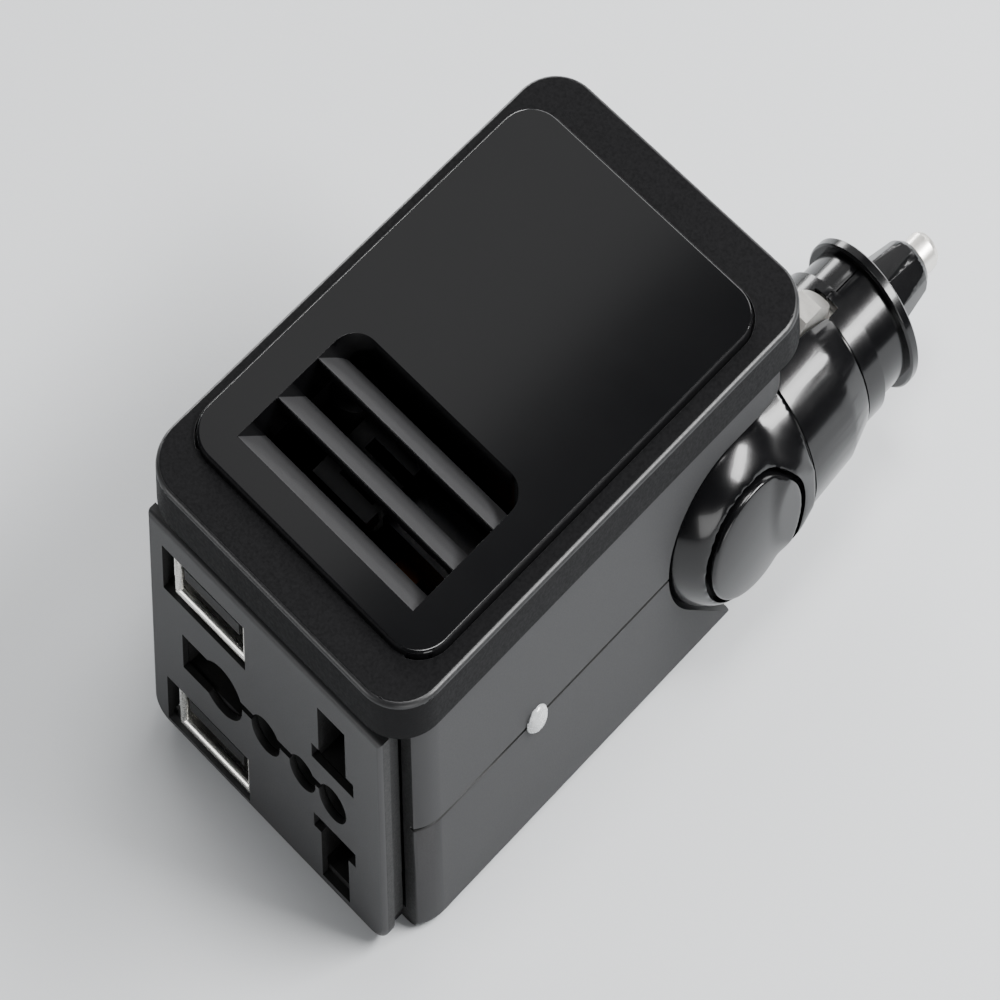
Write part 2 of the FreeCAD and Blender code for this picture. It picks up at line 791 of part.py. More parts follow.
def make_vent_panel():
    """Raised panel with a well under its opening and three blades that slope down to the rear."""
    plate = slab(
        "VentPlate", VENT_X, VENT_Y, (PANEL_SEAT, PANEL_TOP), corner="VentCorner", rim="VentRound")
    well_low = f"({PANEL_TOP} - BladeDrop - BladeThick)"
    well = slab(
        "VentWell",
        grown(OPENING_X, "WellWall"),
        grown(OPENING_Y, "WellWall"),
        (well_low, f"{PANEL_SEAT} + 0.5"),
        corner="OpeningCorner + WellWall",
        corner_test=is_rear_of_opening,
    )
    opening = slab(
        "VentOpening",
        OPENING_X,
        OPENING_Y,
        (f"{well_low} - {CUT_PAST}", f"{PANEL_TOP} + {CUT_PAST}"),
        corner="OpeningCorner",
        corner_test=is_rear_of_opening,
    )
    frame = cut("VentFrame", fuse("VentSolid", plate, well), opening)
    blades = []
    for number in range(3):
        front = f"(-OpeningFront + {number} * BladePitch)"
        corners = [
            (front, PANEL_TOP),
            (f"{front} + BladeRun", f"{PANEL_TOP} - BladeDrop"),
            (f"{front} + BladeRun", f"{PANEL_TOP} - BladeDrop - BladeThick"),
            (front, f"{PANEL_TOP} - BladeThick"),
        ]
        blades.append(prism(f"Blade{number}", "YZ", corners, *grown(OPENING_X, "WellWall / 2")))
    return fuse("VentPanel", frame, *blades)


# Socket end

USB_HEIGHTS = {"Upper": "(UsbHeight + UsbSpread)", "Lower": "(UsbHeight - UsbSpread)"}
USB_FRONT = "(-PanelFace + UsbRecess)"
USB_BOARD_FRONT = f"({USB_FRONT} + UsbDepth)"
USB_BOARD_BACK = f"({USB_BOARD_FRONT} + UsbBoardThick)"
USB_PLACE = f"(-{INNER_SIDE} + UsbInset)"
USB_CENTRE = f"({USB_PLACE} + UsbShift)"
USB_BOARD_LEFT = f"(-{INNER_SIDE} + UsbBoardSide)"
USB_BOARD_RIGHT = f"({USB_CENTRE} + UsbWidth / 2 + UsbBoardClear)"
ROUND_HOLES = {
    "Ground": ("-GroundPlace", "GroundRadius"),
    "Middle": ("MiddlePlace", "MiddleRadius"),
    "Inner": ("InnerPlace", "InnerRadius"),
}


def centred(middle, width):
    """Span of a width about a middle."""
    return (f"({middle}) - ({width}) / 2", f"({middle}) + ({width}) / 2")


SKIN_BACK = "(-PanelFace + PanelSkin)"
BLOCK_ARMS = {
    "Upright": (centred("PinLine", "PinRoom + 2 * BlockWall"), ("Wall + Fit / 2", "SocketHeight * 2 - Wall")),
    "Across": (
        ("-EarthPlace - EarthLength - BlockWall / 2", "PinLine"), centred("SocketHeight", "PinRoom + 2 * BlockWall")),
}
EARTH_CENTRE = "(-EarthPlace - EarthLength / 2 + EarthRadius / 2)"


def pin_span(sign, near, far):
    """Heights of a line or neutral opening above or below the socket's middle."""
    if sign == "+":
        return (f"SocketHeight + {near}", f"SocketHeight + {far}")
    return (f"SocketHeight - {far}", f"SocketHeight - {near}")


def socket_openings(name, low, high):
    """The universal socket's openings through the panel."""
    deep = (low, high)
    tools = []
    for sign, key in (("+", "Live"), ("-", "Neutral")):
        tools.append(box(f"{name}{key}", centred("PinLine", "PinSlotWidth"), deep, pin_span(sign, "PinSlotNear", "PinSlotFar")))
        tools.append(box(f"{name}{key}Flat", centred("PinLine", "FlatSlotWidth"), deep, pin_span(sign, "PinSlotNear", "FlatSlotFar")))
    tools.append(box(f"{name}Earth", ("-EarthPlace - EarthLength", "-EarthPlace"), deep, centred("SocketHeight", "EarthHeight")))
    tools.append(rod(f"{name}EarthRound", "y", ("-EarthPlace", "SocketHeight"), "EarthRadius", low, high))
    for key, (place, radius) in ROUND_HOLES.items():
        tools.append(rod(f"{name}{key}", "y", (place, "SocketHeight"), radius, low, high))
    tools.append(box(f"{name}Link", ("-EarthPlace", "InnerPlace"), deep, centred("SocketHeight + LinkRise", "LinkHeight")))
    return tools


def make_socket_panel():
    """End panel with a shadow groove behind its face and a rim that enters the housing."""
    low, high = "PanelLow", PANEL_HIGH
    plate = new_body("PanelPlate")
    drawing = outline(
        plate, "PanelFaceOutline", "XZ", "PanelFace",
        [(PANEL_LEFT, low), (PANEL_RIGHT, low), (PANEL_RIGHT, high), (PANEL_LEFT, high)])
    pad(plate, drawing, "PanelThick", back=True)
    doc.recompute()
    middle = SIZES["SplitHeight"]

    def is_bottom_corner(edge):
        ends = edge.Vertexes
        return abs(ends[0].Y - ends[-1].Y) > 1e-6 and ends[0].Z < middle

    def is_front_rim(edge):
        return max(abs(v.Y + SIZES["PanelFace"]) for v in edge.Vertexes) < 1e-6

    round_edges(plate, "PanelCorner", is_bottom_corner)
    round_edges(plate, "PanelRound", is_front_rim)
    step = box(
        "PanelStep",
        (f"{PANEL_LEFT} + ShadowInset", f"{PANEL_RIGHT} - ShadowInset"),
        (f"{PLATE_BACK} - 0.5", PANEL_BACK),
        (f"{low} + ShadowInset", f"{high} - ShadowInset"),
    )
    rim_side = f"({WINDOW_SIDE} - Fit)"
    deep = (f"{PANEL_BACK} - 0.5", f"{PANEL_BACK} + RimDepth")
    tall = ("Wall + Fit", f"{PANEL_HIGH} - ShadowInset")
    rims = [
        box("RimLeft", (f"-{rim_side}", f"-{rim_side} + RimThick"), deep, tall),
        box("RimRight", (f"{rim_side} - RimThick", rim_side), deep, tall),
        box("RimTop", (f"-{rim_side}", rim_side), deep, (f"{tall[1]} - RimThick", tall[1])),
        box("RimTab", centred("RimTabPlace", "RimTabWidth"), deep, (tall[0], f"{tall[0]} + RimThick")),
    ]
    solid = fuse("PanelSolid", plate, step, *rims)
    reach = ("-PanelFace - 1", f"{PANEL_BACK} + 0.2")
    usb = [
        box(f"UsbOpening{key}", centred(USB_PLACE, "UsbOpeningWidth"), reach, centred(height, "UsbOpeningHeight"))
        for key, height in USB_HEIGHTS.items()
    ]
    behind = (SKIN_BACK, reach[1])
    reliefs = [
        box(
            f"UsbRelief{key}", centred(USB_PLACE, "UsbOpeningWidth + 2 * PanelRelief"), behind,
            centred(height, "UsbOpeningHeight + 2 * PanelRelief"))
        for key, height in USB_HEIGHTS.items()
    ]
    reliefs += [
        box(f"BlockRelief{key}", grown(across, "Fit"), behind, grown(tall, "Fit"))
        for key, (across, tall) in BLOCK_ARMS.items()
    ]
    return cut("SocketPanel", solid, *socket_openings("Panel", *reach), *usb, *reliefs)


def make_socket_block():
    """Insulating block up against the panel's face plate, one blind chamber to each contact."""
    back = f"({PANEL_BACK} + BlockDepth)"
    room = "(PinRoom / 2)"
    arms = [
        box(f"Block{key}", across, (f"{SKIN_BACK} + Fit", back), tall)
        for key, (across, tall) in BLOCK_ARMS.items()
    ]
    chamber = (f"{SKIN_BACK} - 1", f"{back} - BlockWall")
    tools = []
    for sign, key in (("+", "Live"), ("-", "Neutral")):
        tools.append(box(f"Chamber{key}", centred("PinLine", "PinRoom"), chamber, pin_span(sign, "PinSlotNear", "PinRoomFar")))
        tools.append(box(
            f"TailSlot{key}", centred("PinLine", "StripThick + 0.2"), (f"{back} - BlockWall - 1", f"{back} + 1"),
            centred(pin_centre(sign), "TailWidth + 0.2")))
    tools.append(box("ChamberEarth", ("-EarthPlace - EarthLength", "-EarthPlace + EarthRadius"), chamber, (f"SocketHeight - {room}", f"SocketHeight + {room}")))
    tools.append(box(
        "TailSlotEarth", centred(EARTH_CENTRE, "TailWidth + 0.2"), (f"{back} - BlockWall - 1", f"{back} + 1"),
        centred("SocketHeight", "StripThick + 0.2")))
    for key, (place, radius) in ROUND_HOLES.items():
        tools.append(rod(f"Hole{key}", "y", (place, "SocketHeight"), radius, chamber[0], f"{PANEL_BACK} + RoundHoleDepth"))
    return cut("SocketBlock", fuse("BlockSolid", *arms), *tools)


def pin_centre(sign):
    """Height of the middle of a line or neutral chamber."""
    return f"(SocketHeight {sign} (PinSlotNear + PinRoomFar) / 2)"


def strip_profile(middle):
    """Folded spring strip seen edge on: two leaves that pinch the pin, a base and a solder tail."""
    back = f"({PANEL_BACK} + BlockDepth - BlockWall)"
    front = f"({back} - StripThick - StripReach)"
    pinch = f"({back} - StripThick - StripReach / 3)"
    waist = f"({back} - StripThick - StripReach / 6)"
    inner = "(StripGap / 2)"
    outer = "(StripGap / 2 + StripThick)"
    grip = "(StripPinch / 2)"
    grip_out = "(StripPinch / 2 + StripThick)"
    tail = "(StripThick / 2)"
    half = [
        (inner, front), (outer, front), (outer, f"{pinch} - 3"), (grip_out, pinch), (outer, waist), (outer, back),
        (tail, back), (tail, f"{back} + BlockWall + TailReach"),
    ]
    inside = [(inner, f"{back} - StripThick"), (inner, waist), (grip, pinch), (inner, f"{pinch} - 3")]
    right = [(f"{middle} + {across}", along) for across, along in half]
    left = [(f"{middle} - {across}", along) for across, along in reversed(half)]
    right_in = [(f"{middle} + {across}", along) for across, along in inside]
    left_in = [(f"{middle} - {across}", along) for across, along in reversed(inside)]
    return right + left + left_in + right_in


def make_pin_contact(name, sign):
    """Brass strip folded round a line or neutral pin."""
    height = pin_centre(sign)
    strip = prism(f"{name}Strip", "XY", strip_profile("PinLine"), f"{height} - StripWidth / 2", f"{height} + StripWidth / 2")
    back = f"({PANEL_BACK} + BlockDepth - BlockWall)"
    trim = [
        box(f"{name}Trim{key}", centred("PinLine", "PinRoom"), (back, f"{back} + BlockWall + TailReach + 1"), span)
        for key, span in (
            ("Low", (f"{height} - StripWidth", f"{height} - TailWidth / 2")),
            ("High", (f"{height} + TailWidth / 2", f"{height} + StripWidth")),
        )
    ]
    return cut(name, strip, *trim)


def make_earth_contact():
    """Brass strip folded round the earth pin, its leaves above and below."""
    corners = [(along, across) for across, along in strip_profile("SocketHeight")]
    strip = prism("EarthStrip", "YZ", corners, f"{EARTH_CENTRE} - StripWidth / 2", f"{EARTH_CENTRE} + StripWidth / 2")
    back = f"({PANEL_BACK} + BlockDepth - BlockWall)"
    trim = [
        box(f"EarthTrim{key}", span, (back, f"{back} + BlockWall + TailReach + 1"), centred("SocketHeight", "PinRoom"))
        for key, span in (
            ("Low", (f"{EARTH_CENTRE} - StripWidth", f"{EARTH_CENTRE} - TailWidth / 2")),
            ("High", (f"{EARTH_CENTRE} + TailWidth / 2", f"{EARTH_CENTRE} + StripWidth")),
        )
    ]
    return cut("EarthContact", strip, *trim)


def make_usb_shell(key):
    """Folded sheet tube of a USB-A socket with two spring fingers cut in its floor."""
    height = USB_HEIGHTS[key]
    deep = (USB_FRONT, USB_BOARD_FRONT)
    tube = box(f"UsbTube{key}", centred(USB_CENTRE, "UsbWidth"), deep, centred(height, "UsbTall"))
    room = box(
        f"UsbRoom{key}",
        centred(USB_CENTRE, "UsbWidth - 2 * UsbSheet"),
        (f"{deep[0]} - 1", f"{deep[1]} - UsbSheet"),
        centred(height, "UsbTall - 2 * UsbSheet"),
    )
    low = f"({height} - UsbTall / 2)"
    windows = [
        box(
            f"UsbWindow{key}{number}",
            centred(f"{USB_CENTRE} {sign} FingerPlace", "FingerWidth"),
            (f"{deep[0]} + FingerStart", f"{deep[0]} + FingerStart + FingerLength"),
            (f"{low} - 1", f"{low} + UsbSheet + 0.5"),
        )
        for number, sign in enumerate("-+")
    ]
    return cut(f"UsbShell{key}", tube, room, *windows)


def make_usb_tongue(key):
    """Moulded tongue near the socket's ceiling, on a block at the back."""
    ceiling = f"({USB_HEIGHTS[key]} + UsbTall / 2 - UsbSheet)"
    back = f"({USB_BOARD_FRONT} - UsbSheet)"
    front = f"({USB_FRONT} + TongueRecess)"
    tall = (f"{ceiling} - TongueDrop - TongueThick", f"{ceiling} - TongueDrop")
    tongue = box(f"Tongue{key}", centred(USB_CENTRE, "TongueWidth"), (front, f"{front} + TongueDepth + 0.5"), tall)
    floor = f"({USB_HEIGHTS[key]} - UsbTall / 2 + UsbSheet)"
    root = box(
        f"TongueRoot{key}",
        centred(USB_CENTRE, "UsbWidth - 2 * UsbSheet - 0.04"),
        (f"{front} + TongueDepth", f"{back} - 0.02"),
        (f"{floor} + 0.02", f"{ceiling} - 0.02"),
    )
    return fuse(f"UsbTongue{key}", tongue, root)


def make_usb_board():
    """C-shaped board that carries both sockets and passes round the block's arm."""
    left, right = USB_BOARD_LEFT, USB_BOARD_RIGHT
    low, top = "Wall + 0.02", f"{USB_HEIGHTS['Upper']} + UsbBoardAbove"
    window = "(-EarthPlace - EarthLength - BlockWall / 2 - UsbBoardClear)"
    sill, head = centred("SocketHeight", "PinRoom + 2 * BlockWall + 2 * UsbBoardClear")
    corners = [
        (left, low), (right, low), (right, sill), (window, sill),
        (window, head), (right, head), (right, top), (left, top),
    ]
    return prism("UsbBoard", "XZ", corners, USB_BOARD_FRONT, USB_BOARD_BACK)


def make_status_led():
    """Clear light: a domed barrel with a flange inside the wall and two legs down to the board."""
    place = ("-LedPlace", "SplitHeight")
    tip = f"({CASE_SIDE} + LedRise)"
    barrel = rod("LedBarrel", "x", place, "LedRadius", f"{INNER_SIDE} - 0.2", f"{tip} - LedRadius")
    dome = doc.addObject("Part::Sphere", "LedDome")
    bind(dome, "Radius", "LedRadius")
    for axis, formula in zip("xyz", (f"{tip} - LedRadius", *place)):
        bind(dome, f"Placement.Base.{axis}", formula)
    flange = rod("LedFlange", "x", place, "LedFlangeRadius", f"{INNER_SIDE} - LedFlangeThick", INNER_SIDE)
    root = rod("LedRoot", "x", place, "LedRadius", f"{INNER_SIDE} - LedBody", INNER_SIDE)
    legs = []
    for number, sign in enumerate("-+"):
        along = centred(f"-LedPlace {sign} LegPitch / 2", "LegThick")
        bend = f"({BOARD_SIDE} - LegInset)"
        legs.append(box(f"LedLegOut{number}", (f"{bend} - LegThick / 2", f"{INNER_SIDE} - LedBody + 0.3"), along, centred("SplitHeight", "LegThick")))
        legs.append(box(f"LedLegDown{number}", centred(bend, "LegThick"), along, (BOARD_TOP, "SplitHeight + LegThick / 2")))
    return fuse("StatusLed", barrel, dome, flange, root, *legs)


# Electronics


def make_main_board():
    """L-shaped board that leaves room for the folding plug."""
    corners = [
        (f"-{BOARD_SIDE}", "-BoardFront"), (BOARD_SIDE, "-BoardFront"), (BOARD_SIDE, "BoardMiddle"),
        (BOARD_RIGHT, "BoardMiddle"), (BOARD_RIGHT, "BoardRear"), (f"-{BOARD_SIDE}", "BoardRear"),
    ]
    board = prism("BoardPlate", "XY", corners, "BoardLow", BOARD_TOP)
    holes = [
        rod(f"BoardHole{key}", "z", place, "BoardScrewRadius + ScrewClear", "BoardLow - 1", f"{BOARD_TOP} + 1")
        for key, place in STANDOFFS.items()
    ]
    return cut("MainBoard", board, *holes)


def make_transformer_core():
    """Ferrite core: two E halves that meet as a frame with a middle leg."""
    along = centred("-CoreForward", "CoreDeep")
    frame = box("CoreFrame", centred(CORE_PLACE, CORE_WIDTH), along, (BOARD_TOP, f"{BOARD_TOP} + CoreTall"))
    leg = f"({CORE_WIDTH} / 8)"
    window_tall = centred(f"{BOARD_TOP} + CoreTall / 2", "WindingTall + 0.4")
    outer = f"({CORE_WIDTH} / 2 - CoreLeg)"
    windows = [
        box("CoreWindowLeft", (f"{CORE_PLACE} - {outer}", f"{CORE_PLACE} - {leg}"), grown(along, "1"), window_tall),
        box("CoreWindowRight", (f"{CORE_PLACE} + {leg}", f"{CORE_PLACE} + {outer}"), grown(along, "1"), window_tall),
    ]
    return cut("TransformerCore", frame, *windows)


def make_transformer_winding():
    """Taped winding round the middle leg."""
    tall = centred(f"{BOARD_TOP} + CoreTall / 2", "WindingTall")
    coil = slab(
        "WindingCoil", centred(CORE_PLACE, f"{CORE_WIDTH} - WindingMargin"), centred("-CoreForward", "WindingDeep"), tall,
        corner="WindingCorner")
    hole = box(
        "WindingHole", centred(CORE_PLACE, f"{CORE_WIDTH} / 4 + 0.2"), centred("-CoreForward", "CoreDeep + 0.2"), grown(tall, "1"))
    return cut("TransformerWinding", coil, hole)


def make_heat_sink():
    """Aluminium plate on the board's edge, bent over at the top, with slots in the bend."""
    face = f"(-{BOARD_SIDE} + SinkThick)"
    bend = f"(-{BOARD_SIDE} + SinkFlange)"
    corners = [
        (f"-{BOARD_SIDE}", BOARD_TOP), (face, BOARD_TOP), (face, "SinkTop - SinkThick"),
        (bend, "SinkTop - SinkThick"), (bend, "SinkTop"), (f"-{BOARD_SIDE}", "SinkTop"),
    ]
    plate = prism("SinkPlate", "XZ", corners, "-SinkFront", "SinkRear")
    length = SIZES["SinkFront"] + SIZES["SinkRear"]
    slots = [
        box(
            f"SinkSlot{number}",
            (f"{face} + 1", f"{bend} + {CUT_PAST}"),
            (f"-SinkFront + {number + 0.5} * SinkSlotPitch", f"-SinkFront + {number + 0.5} * SinkSlotPitch + SinkSlotWidth"),
            ("SinkTop - SinkThick - 1", "SinkTop + 1"),
        )
        for number in range(int(length / SIZES["SinkSlotPitch"]))
    ]
    return cut("HeatSink", plate, *slots)


def make_power_transistors():
    """Three flat power transistors clamped to the heat sink, tabs against the metal."""
    face = f"(-{BOARD_SIDE} + SinkThick)"
    foot = f"({BOARD_TOP} + TransistorLift)"
    group = []
    for number in range(3):
        middle = f"(-TransistorFirst + {number} * TransistorPitch)"
        along = centred(middle, "TransistorWidth")
        tab = box(f"Tab{number}", (face, f"{face} + TransistorTabThick"), along, (foot, f"{foot} + TransistorTabTall"))
        case = box(f"Case{number}", (f"{face} + TransistorTabThick / 2", f"{face} + TransistorThick"), along, (foot, f"{foot} + TransistorTall"))
        legs = [
            box(
                f"Leg{number}{order}",
                centred(f"{face} + TransistorThick / 2", "TransistorLeg / 2"),
                centred(f"{middle} + {order} * TransistorLegPitch", "TransistorLeg"),
                (BOARD_TOP, f"{foot} + 0.5"),
            )
            for order in (-1, 0, 1)
        ]
        group.append(fuse(f"Transistor{number}", tab, case, *legs))
    gang = doc.addObject("Part::Compound", "PowerTransistors")
    gang.Links = group
    return gang


def make_can(name, place, radius, tall):
    """Electrolytic capacitor: a can with a crimped waist near its foot."""
    waist = f"{BOARD_TOP} + 1.6"
    return turned(name, (place[0], place[1], "0"), "Z", [
        (BOARD_TOP, "0"), (BOARD_TOP, radius), (waist, radius), (f"{waist} + 0.6", f"{radius} - 0.5"),
        (f"{waist} + 1.2", radius), (f"{BOARD_TOP} + {tall}", radius), (f"{BOARD_TOP} + {tall}", "0"),
    ])


def make_input_capacitors():
    """Two cans side by side on the 12 V input."""
    gang = doc.addObject("Part::Compound", "InputCapacitors")
    gang.Links = [
        make_can(f"InputCan{number}", (f"{INPUT_ACROSS} - {number} * {INPUT_PITCH}", "InputAlong"), "InputRadius", "InputTall")
        for number in range(2)
    ]
    return gang


def make_toroid_choke():
    """Ring core standing on the board, on a flat of its own winding."""
    middle = f"({BOARD_TOP} + ChokeRadius + ChokeTube - ChokeSink)"
    near, far = "(ChokeTube * sin(22.5))", "(ChokeTube * cos(22.5))"
    corners = [
        (near, f"ChokeRadius + {far}"), (far, f"ChokeRadius + {near}"), (far, f"ChokeRadius - {near}"),
        (near, f"ChokeRadius - {far}"), (f"-{near}", f"ChokeRadius - {far}"), (f"-{far}", f"ChokeRadius - {near}"),
        (f"-{far}", f"ChokeRadius + {near}"), (f"-{near}", f"ChokeRadius + {far}"),
    ]
    ring = turned("ChokeRing", (CHOKE_ACROSS, "ChokeAlong", middle), "X", corners)
    under = box(
        "ChokeFlat", centred(CHOKE_ACROSS, "6 * ChokeTube"), centred("ChokeAlong", "8 * ChokeRadius"),
        (f"{BOARD_TOP} - 2", BOARD_TOP))
    return cut("ToroidChoke", ring, under)


def screw(name, axis, centre, start, way, radius, head, head_tall, length):
    """Round-headed screw from its head's outer face, pointing one way along an axis."""
    if way > 0:
        under = f"({start} + {head_tall})"
        top = rod(f"{name}Head", axis, centre, head, start, under)
        shank = rod(f"{name}Shank", axis, centre, radius, f"{under} - 0.2", f"{under} + ({length})")
    else:
        under = f"({start} - {head_tall})"
        top = rod(f"{name}Head", axis, centre, head, under, start)
        shank = rod(f"{name}Shank", axis, centre, radius, f"{under} - ({length})", f"{under} + 0.2")
    return fuse(name, top, shank)


def make_case_screws():
    """Four screws from the base up into the upper shell's posts."""
    gang = doc.addObject("Part::Compound", "CaseScrews")
    gang.Links = [
        screw(f"CaseScrew{key}", "z", place, "ScrewRecess", 1, "ScrewRadius", "ScrewHeadRadius", "ScrewHeadTall", "ScrewLength")
        for key, place in POSTS.items()
    ]
    return gang


def make_board_screws():
    """Four screws that hold the main board to its standoffs."""
    gang = doc.addObject("Part::Compound", "BoardScrews")
    gang.Links = [
        screw(
            f"BoardScrew{key}", "z", place, f"({BOARD_TOP} + BoardScrewHeadTall)", -1, "BoardScrewRadius - 0.02",
            "BoardScrewHead", "BoardScrewHeadTall", "BoardScrewLength - 0.1")
        for key, place in STANDOFFS.items()
    ]
    return gang


# Folding plug

PLUG_LINE = (PLUG_ACROSS, "0", "SplitHeight")
PLUG_CENTRE = (PLUG_ACROSS, "SplitHeight")


def dome(name, grow):
    """Ball that gives the hub its domed side."""
    ball = doc.addObject("Part::Sphere", name)
    bind(ball, "Radius", f"DomeRadius + {grow}")
    for axis, formula in zip("xyz", (DOME_CENTRE, *PIVOT)):
        bind(ball, f"Placement.Base.{axis}", formula)
    return ball


def plug_sleeve():
    """Round sleeve from its blended start over the hub out to the neck."""
    seam = ("(SeamPlace - SeamWidth / 2)", "(SeamPlace + SeamWidth / 2)")
    groove = "(ShoulderEnd + GrooveWidth)"
    sleeve = turned("Sleeve", PLUG_LINE, "Y", [
        ("SleeveStart", "0"), ("SleeveStart", "SleeveRadius"),
        (seam[0], "SleeveRadius"), (seam[0], "SleeveRadius - SeamDepth"),
        (seam[1], "SleeveRadius - SeamDepth"), (seam[1], "SleeveRadius"),
        ("TaperEnd", "TaperRadius"), ("ShoulderEnd", "ShoulderRadius"),
        ("ShoulderEnd", "ShoulderRadius - GrooveDepth"), (groove, "ShoulderRadius - GrooveDepth"),
        (groove, "CollarRadius"), ("CollarEnd", "CollarRadius"), ("CollarEnd", "NeckRadius"),
        ("NeckEnd", "NeckRadius"), ("NeckEnd", "0"),
    ])
    start = SIZES["SleeveStart"]
    wide = SIZES["SleeveRadius"]
    round_edges(
        sleeve, "SleeveRound",
        lambda edge: edge.BoundBox.YLength < 1e-6 and abs(edge.BoundBox.YMin - start) < 1e-6
        and abs(edge.BoundBox.XMax - wide) < 1e-3)
    return sleeve


def plug_outside(sleeve):
    """Hub, domed on one side, crossed by the sleeve that runs out to the neck."""
    disc = rod("HubDisc", "x", PIVOT, "HubRadius", HUB_LEFT, f"{PLUG_ACROSS} + DomeRise + 1")
    hub = common("Hub", disc, dome("HubDome", "0"))
    trunnion = rod("Trunnion", "x", PIVOT, "TrunnionRadius", TRUNNION_END, f"{HUB_LEFT} + 1")
    return fuse("PlugOutside", hub, sleeve, trunnion)


def contact_pocket(key, sign):
    """Slot for one side contact with a wider pocket under the sleeve's wall."""
    wide = "(ContactWidth / 2 + ContactSide)"
    foot = "(ContactFootSide + ContactSide)"
    slot_y = ("ContactStart - ContactEndGap", "ContactEnd + ContactEndGap")
    pocket_y = grown(slot_y, "ContactFootReach")
    ceiling = "(ContactSeat + ContactClear)"
    floor = "(ContactSeat - ContactFoot - ContactTravel - 0.1)"
    spans = [(floor, "SleeveRadius + 2"), (floor, ceiling)]
    if sign == "-":
        spans = [(f"-({high})", f"-({low})") for low, high in spans]
    tall = [(f"SplitHeight + {low}", f"SplitHeight + {high}") for low, high in spans]
    return [
        box(f"ContactSlot{key}", (f"{PLUG_ACROSS} - {wide}", f"{PLUG_ACROSS} + {wide}"), slot_y, tall[0]),
        box(f"ContactRoom{key}", (f"{PLUG_ACROSS} - {foot}", f"{PLUG_ACROSS} + {foot}"), pocket_y, tall[1]),
    ]


PLUG_SCREWS = {
    "Top": ("PivotPlace", "SplitHeight + PlugScrewSpread"),
    "Bottom": ("PivotPlace", "SplitHeight - PlugScrewSpread"),
}


def plug_inside():
    """Everything hollow in the plug: wire room, spring seat, fuse bore and the contacts' pockets."""
    room_right = f"({CAP_SEAT} - HubSkin)"
    room_left = f"({HUB_LEFT} + HubSkin)"
    spring_wall = "(SpringSeat - SpringWall)"
    room = common(
        "WireRoom",
        rod("WireRoomTurn", "x", PIVOT, "HubRoom", room_left, room_right),
        box("WireRoomEnd", (room_left, room_right), ("PivotPlace - HubRadius", spring_wall), ("0", "CaseHeight")),
    )
    bosses = [rod(f"PlugBoss{key}", "x", place, "PlugScrewBoss", f"{room_left} - 1", f"{room_right} + 1") for key, place in PLUG_SCREWS.items()]
    stem = rod("StemBoss", "x", PIVOT, "CapStem + 1.4", f"{room_right} - CapStemDepth", f"{room_right} + 1")
    tools = [
        cut("WireRoomOpen", room, *bosses, stem),
        rod("TrunnionWay", "x", PIVOT, "TrunnionBore", f"{TRUNNION_END} - 1", f"{room_left} + 1"),
        rod("FuseWay", "y", PLUG_CENTRE, "FuseBore", "SpringSeat", "NeckEnd + 1"),
        rod("WireWay", "y", PLUG_CENTRE, "WireHole", f"{spring_wall} - 1", "SpringSeat + 1"),
        rod("SpigotWay", "y", PLUG_CENTRE, "SpigotRadius + SpigotClear", "NeckEnd - SpigotLength - 0.2", "NeckEnd + 1"),
        rod("CapWay", "x", PIVOT, "CapRadius + CapGap", CAP_SEAT, f"{PLUG_ACROSS} + DomeRise + 2"),
        rod("StemWay", "x", PIVOT, "CapStem + 0.05", f"{CAP_SEAT} - CapStemDepth - 0.3", f"{CAP_SEAT} + 1"),
    ]
    for key, place in PLUG_SCREWS.items():
        sink = f"({CAP_SEAT} - PlugScrewHeadTall)"
        tools.append(rod(
            f"PlugHole{key}", "x", place, "PlugScrewRadius + 0.02", f"{sink} - PlugScrewLength - 0.4",
            f"{CAP_SEAT} + 1"))
        tools.append(rod(f"PlugSink{key}", "x", place, "PlugScrewHead + 0.1", sink, f"{CAP_SEAT} + 1"))
    clip_groove = cut(
        "ClipGroove",
        rod("ClipGrooveOuter", "x", PIVOT, "TrunnionRadius + 1", f"{CLIP_RIGHT} - ClipThick - 0.02", f"{CLIP_RIGHT} + 0.02"),
        rod("ClipGrooveInner", "x", PIVOT, "TrunnionRadius - ClipDepth", f"{CLIP_RIGHT} - ClipThick - 1", f"{CLIP_RIGHT} + 1"),
    )
    tools.append(clip_groove)
    tools += contact_pocket("Top", "+") + contact_pocket("Bottom", "-")
    return tools


def make_plug_halves(sleeve):
    """Two moulded halves that meet on the plug's upright middle plane."""
    whole = cut("PlugWhole", plug_outside(sleeve), *plug_inside())
    along = ("0", "TipEnd + 5")
    tall = ("-CaseHeight", "2 * CaseHeight")
    left_side = box("PlugLeftSide", ("-CaseWidth", PLUG_ACROSS), along, tall)
    right_side = box("PlugRightSide", (PLUG_ACROSS, "2 * CaseWidth"), along, tall)
    return common("PlugHalfLeft", whole, left_side), common("PlugHalfRight", whole, right_side)


def make_pivot_cap(sleeve):
    """Round cap that completes the dome and hides the plug's screws."""
    disc = rod("CapDisc", "x", PIVOT, "CapRadius", CAP_SEAT, f"{PLUG_ACROSS} + DomeRise + 2")
    shaped = common("CapShaped", disc, fuse("CapForm", dome("CapDome", "CapProud"), sleeve))
    stem = rod("CapPin", "x", PIVOT, "CapStem", f"{CAP_SEAT} - CapStemDepth", f"{CAP_SEAT} + 0.5")
    return fuse("PivotCap", shaped, stem)


def make_pivot_washer():
    """Thin washer between the hub and the notch wall that gives the hinge its drag."""
    middle = f"({NOTCH_WALL} + HubGap / 2)"
    span = centred(middle, "WasherThick")
    ring = rod("WasherDisc", "x", PIVOT, "WasherRadius", *span)
    hole = rod("WasherHole", "x", PIVOT, "TrunnionRadius + 0.1", f"{span[0]} - 1", f"{span[1]} + 1")
    return cut("PivotWasher", ring, hole)


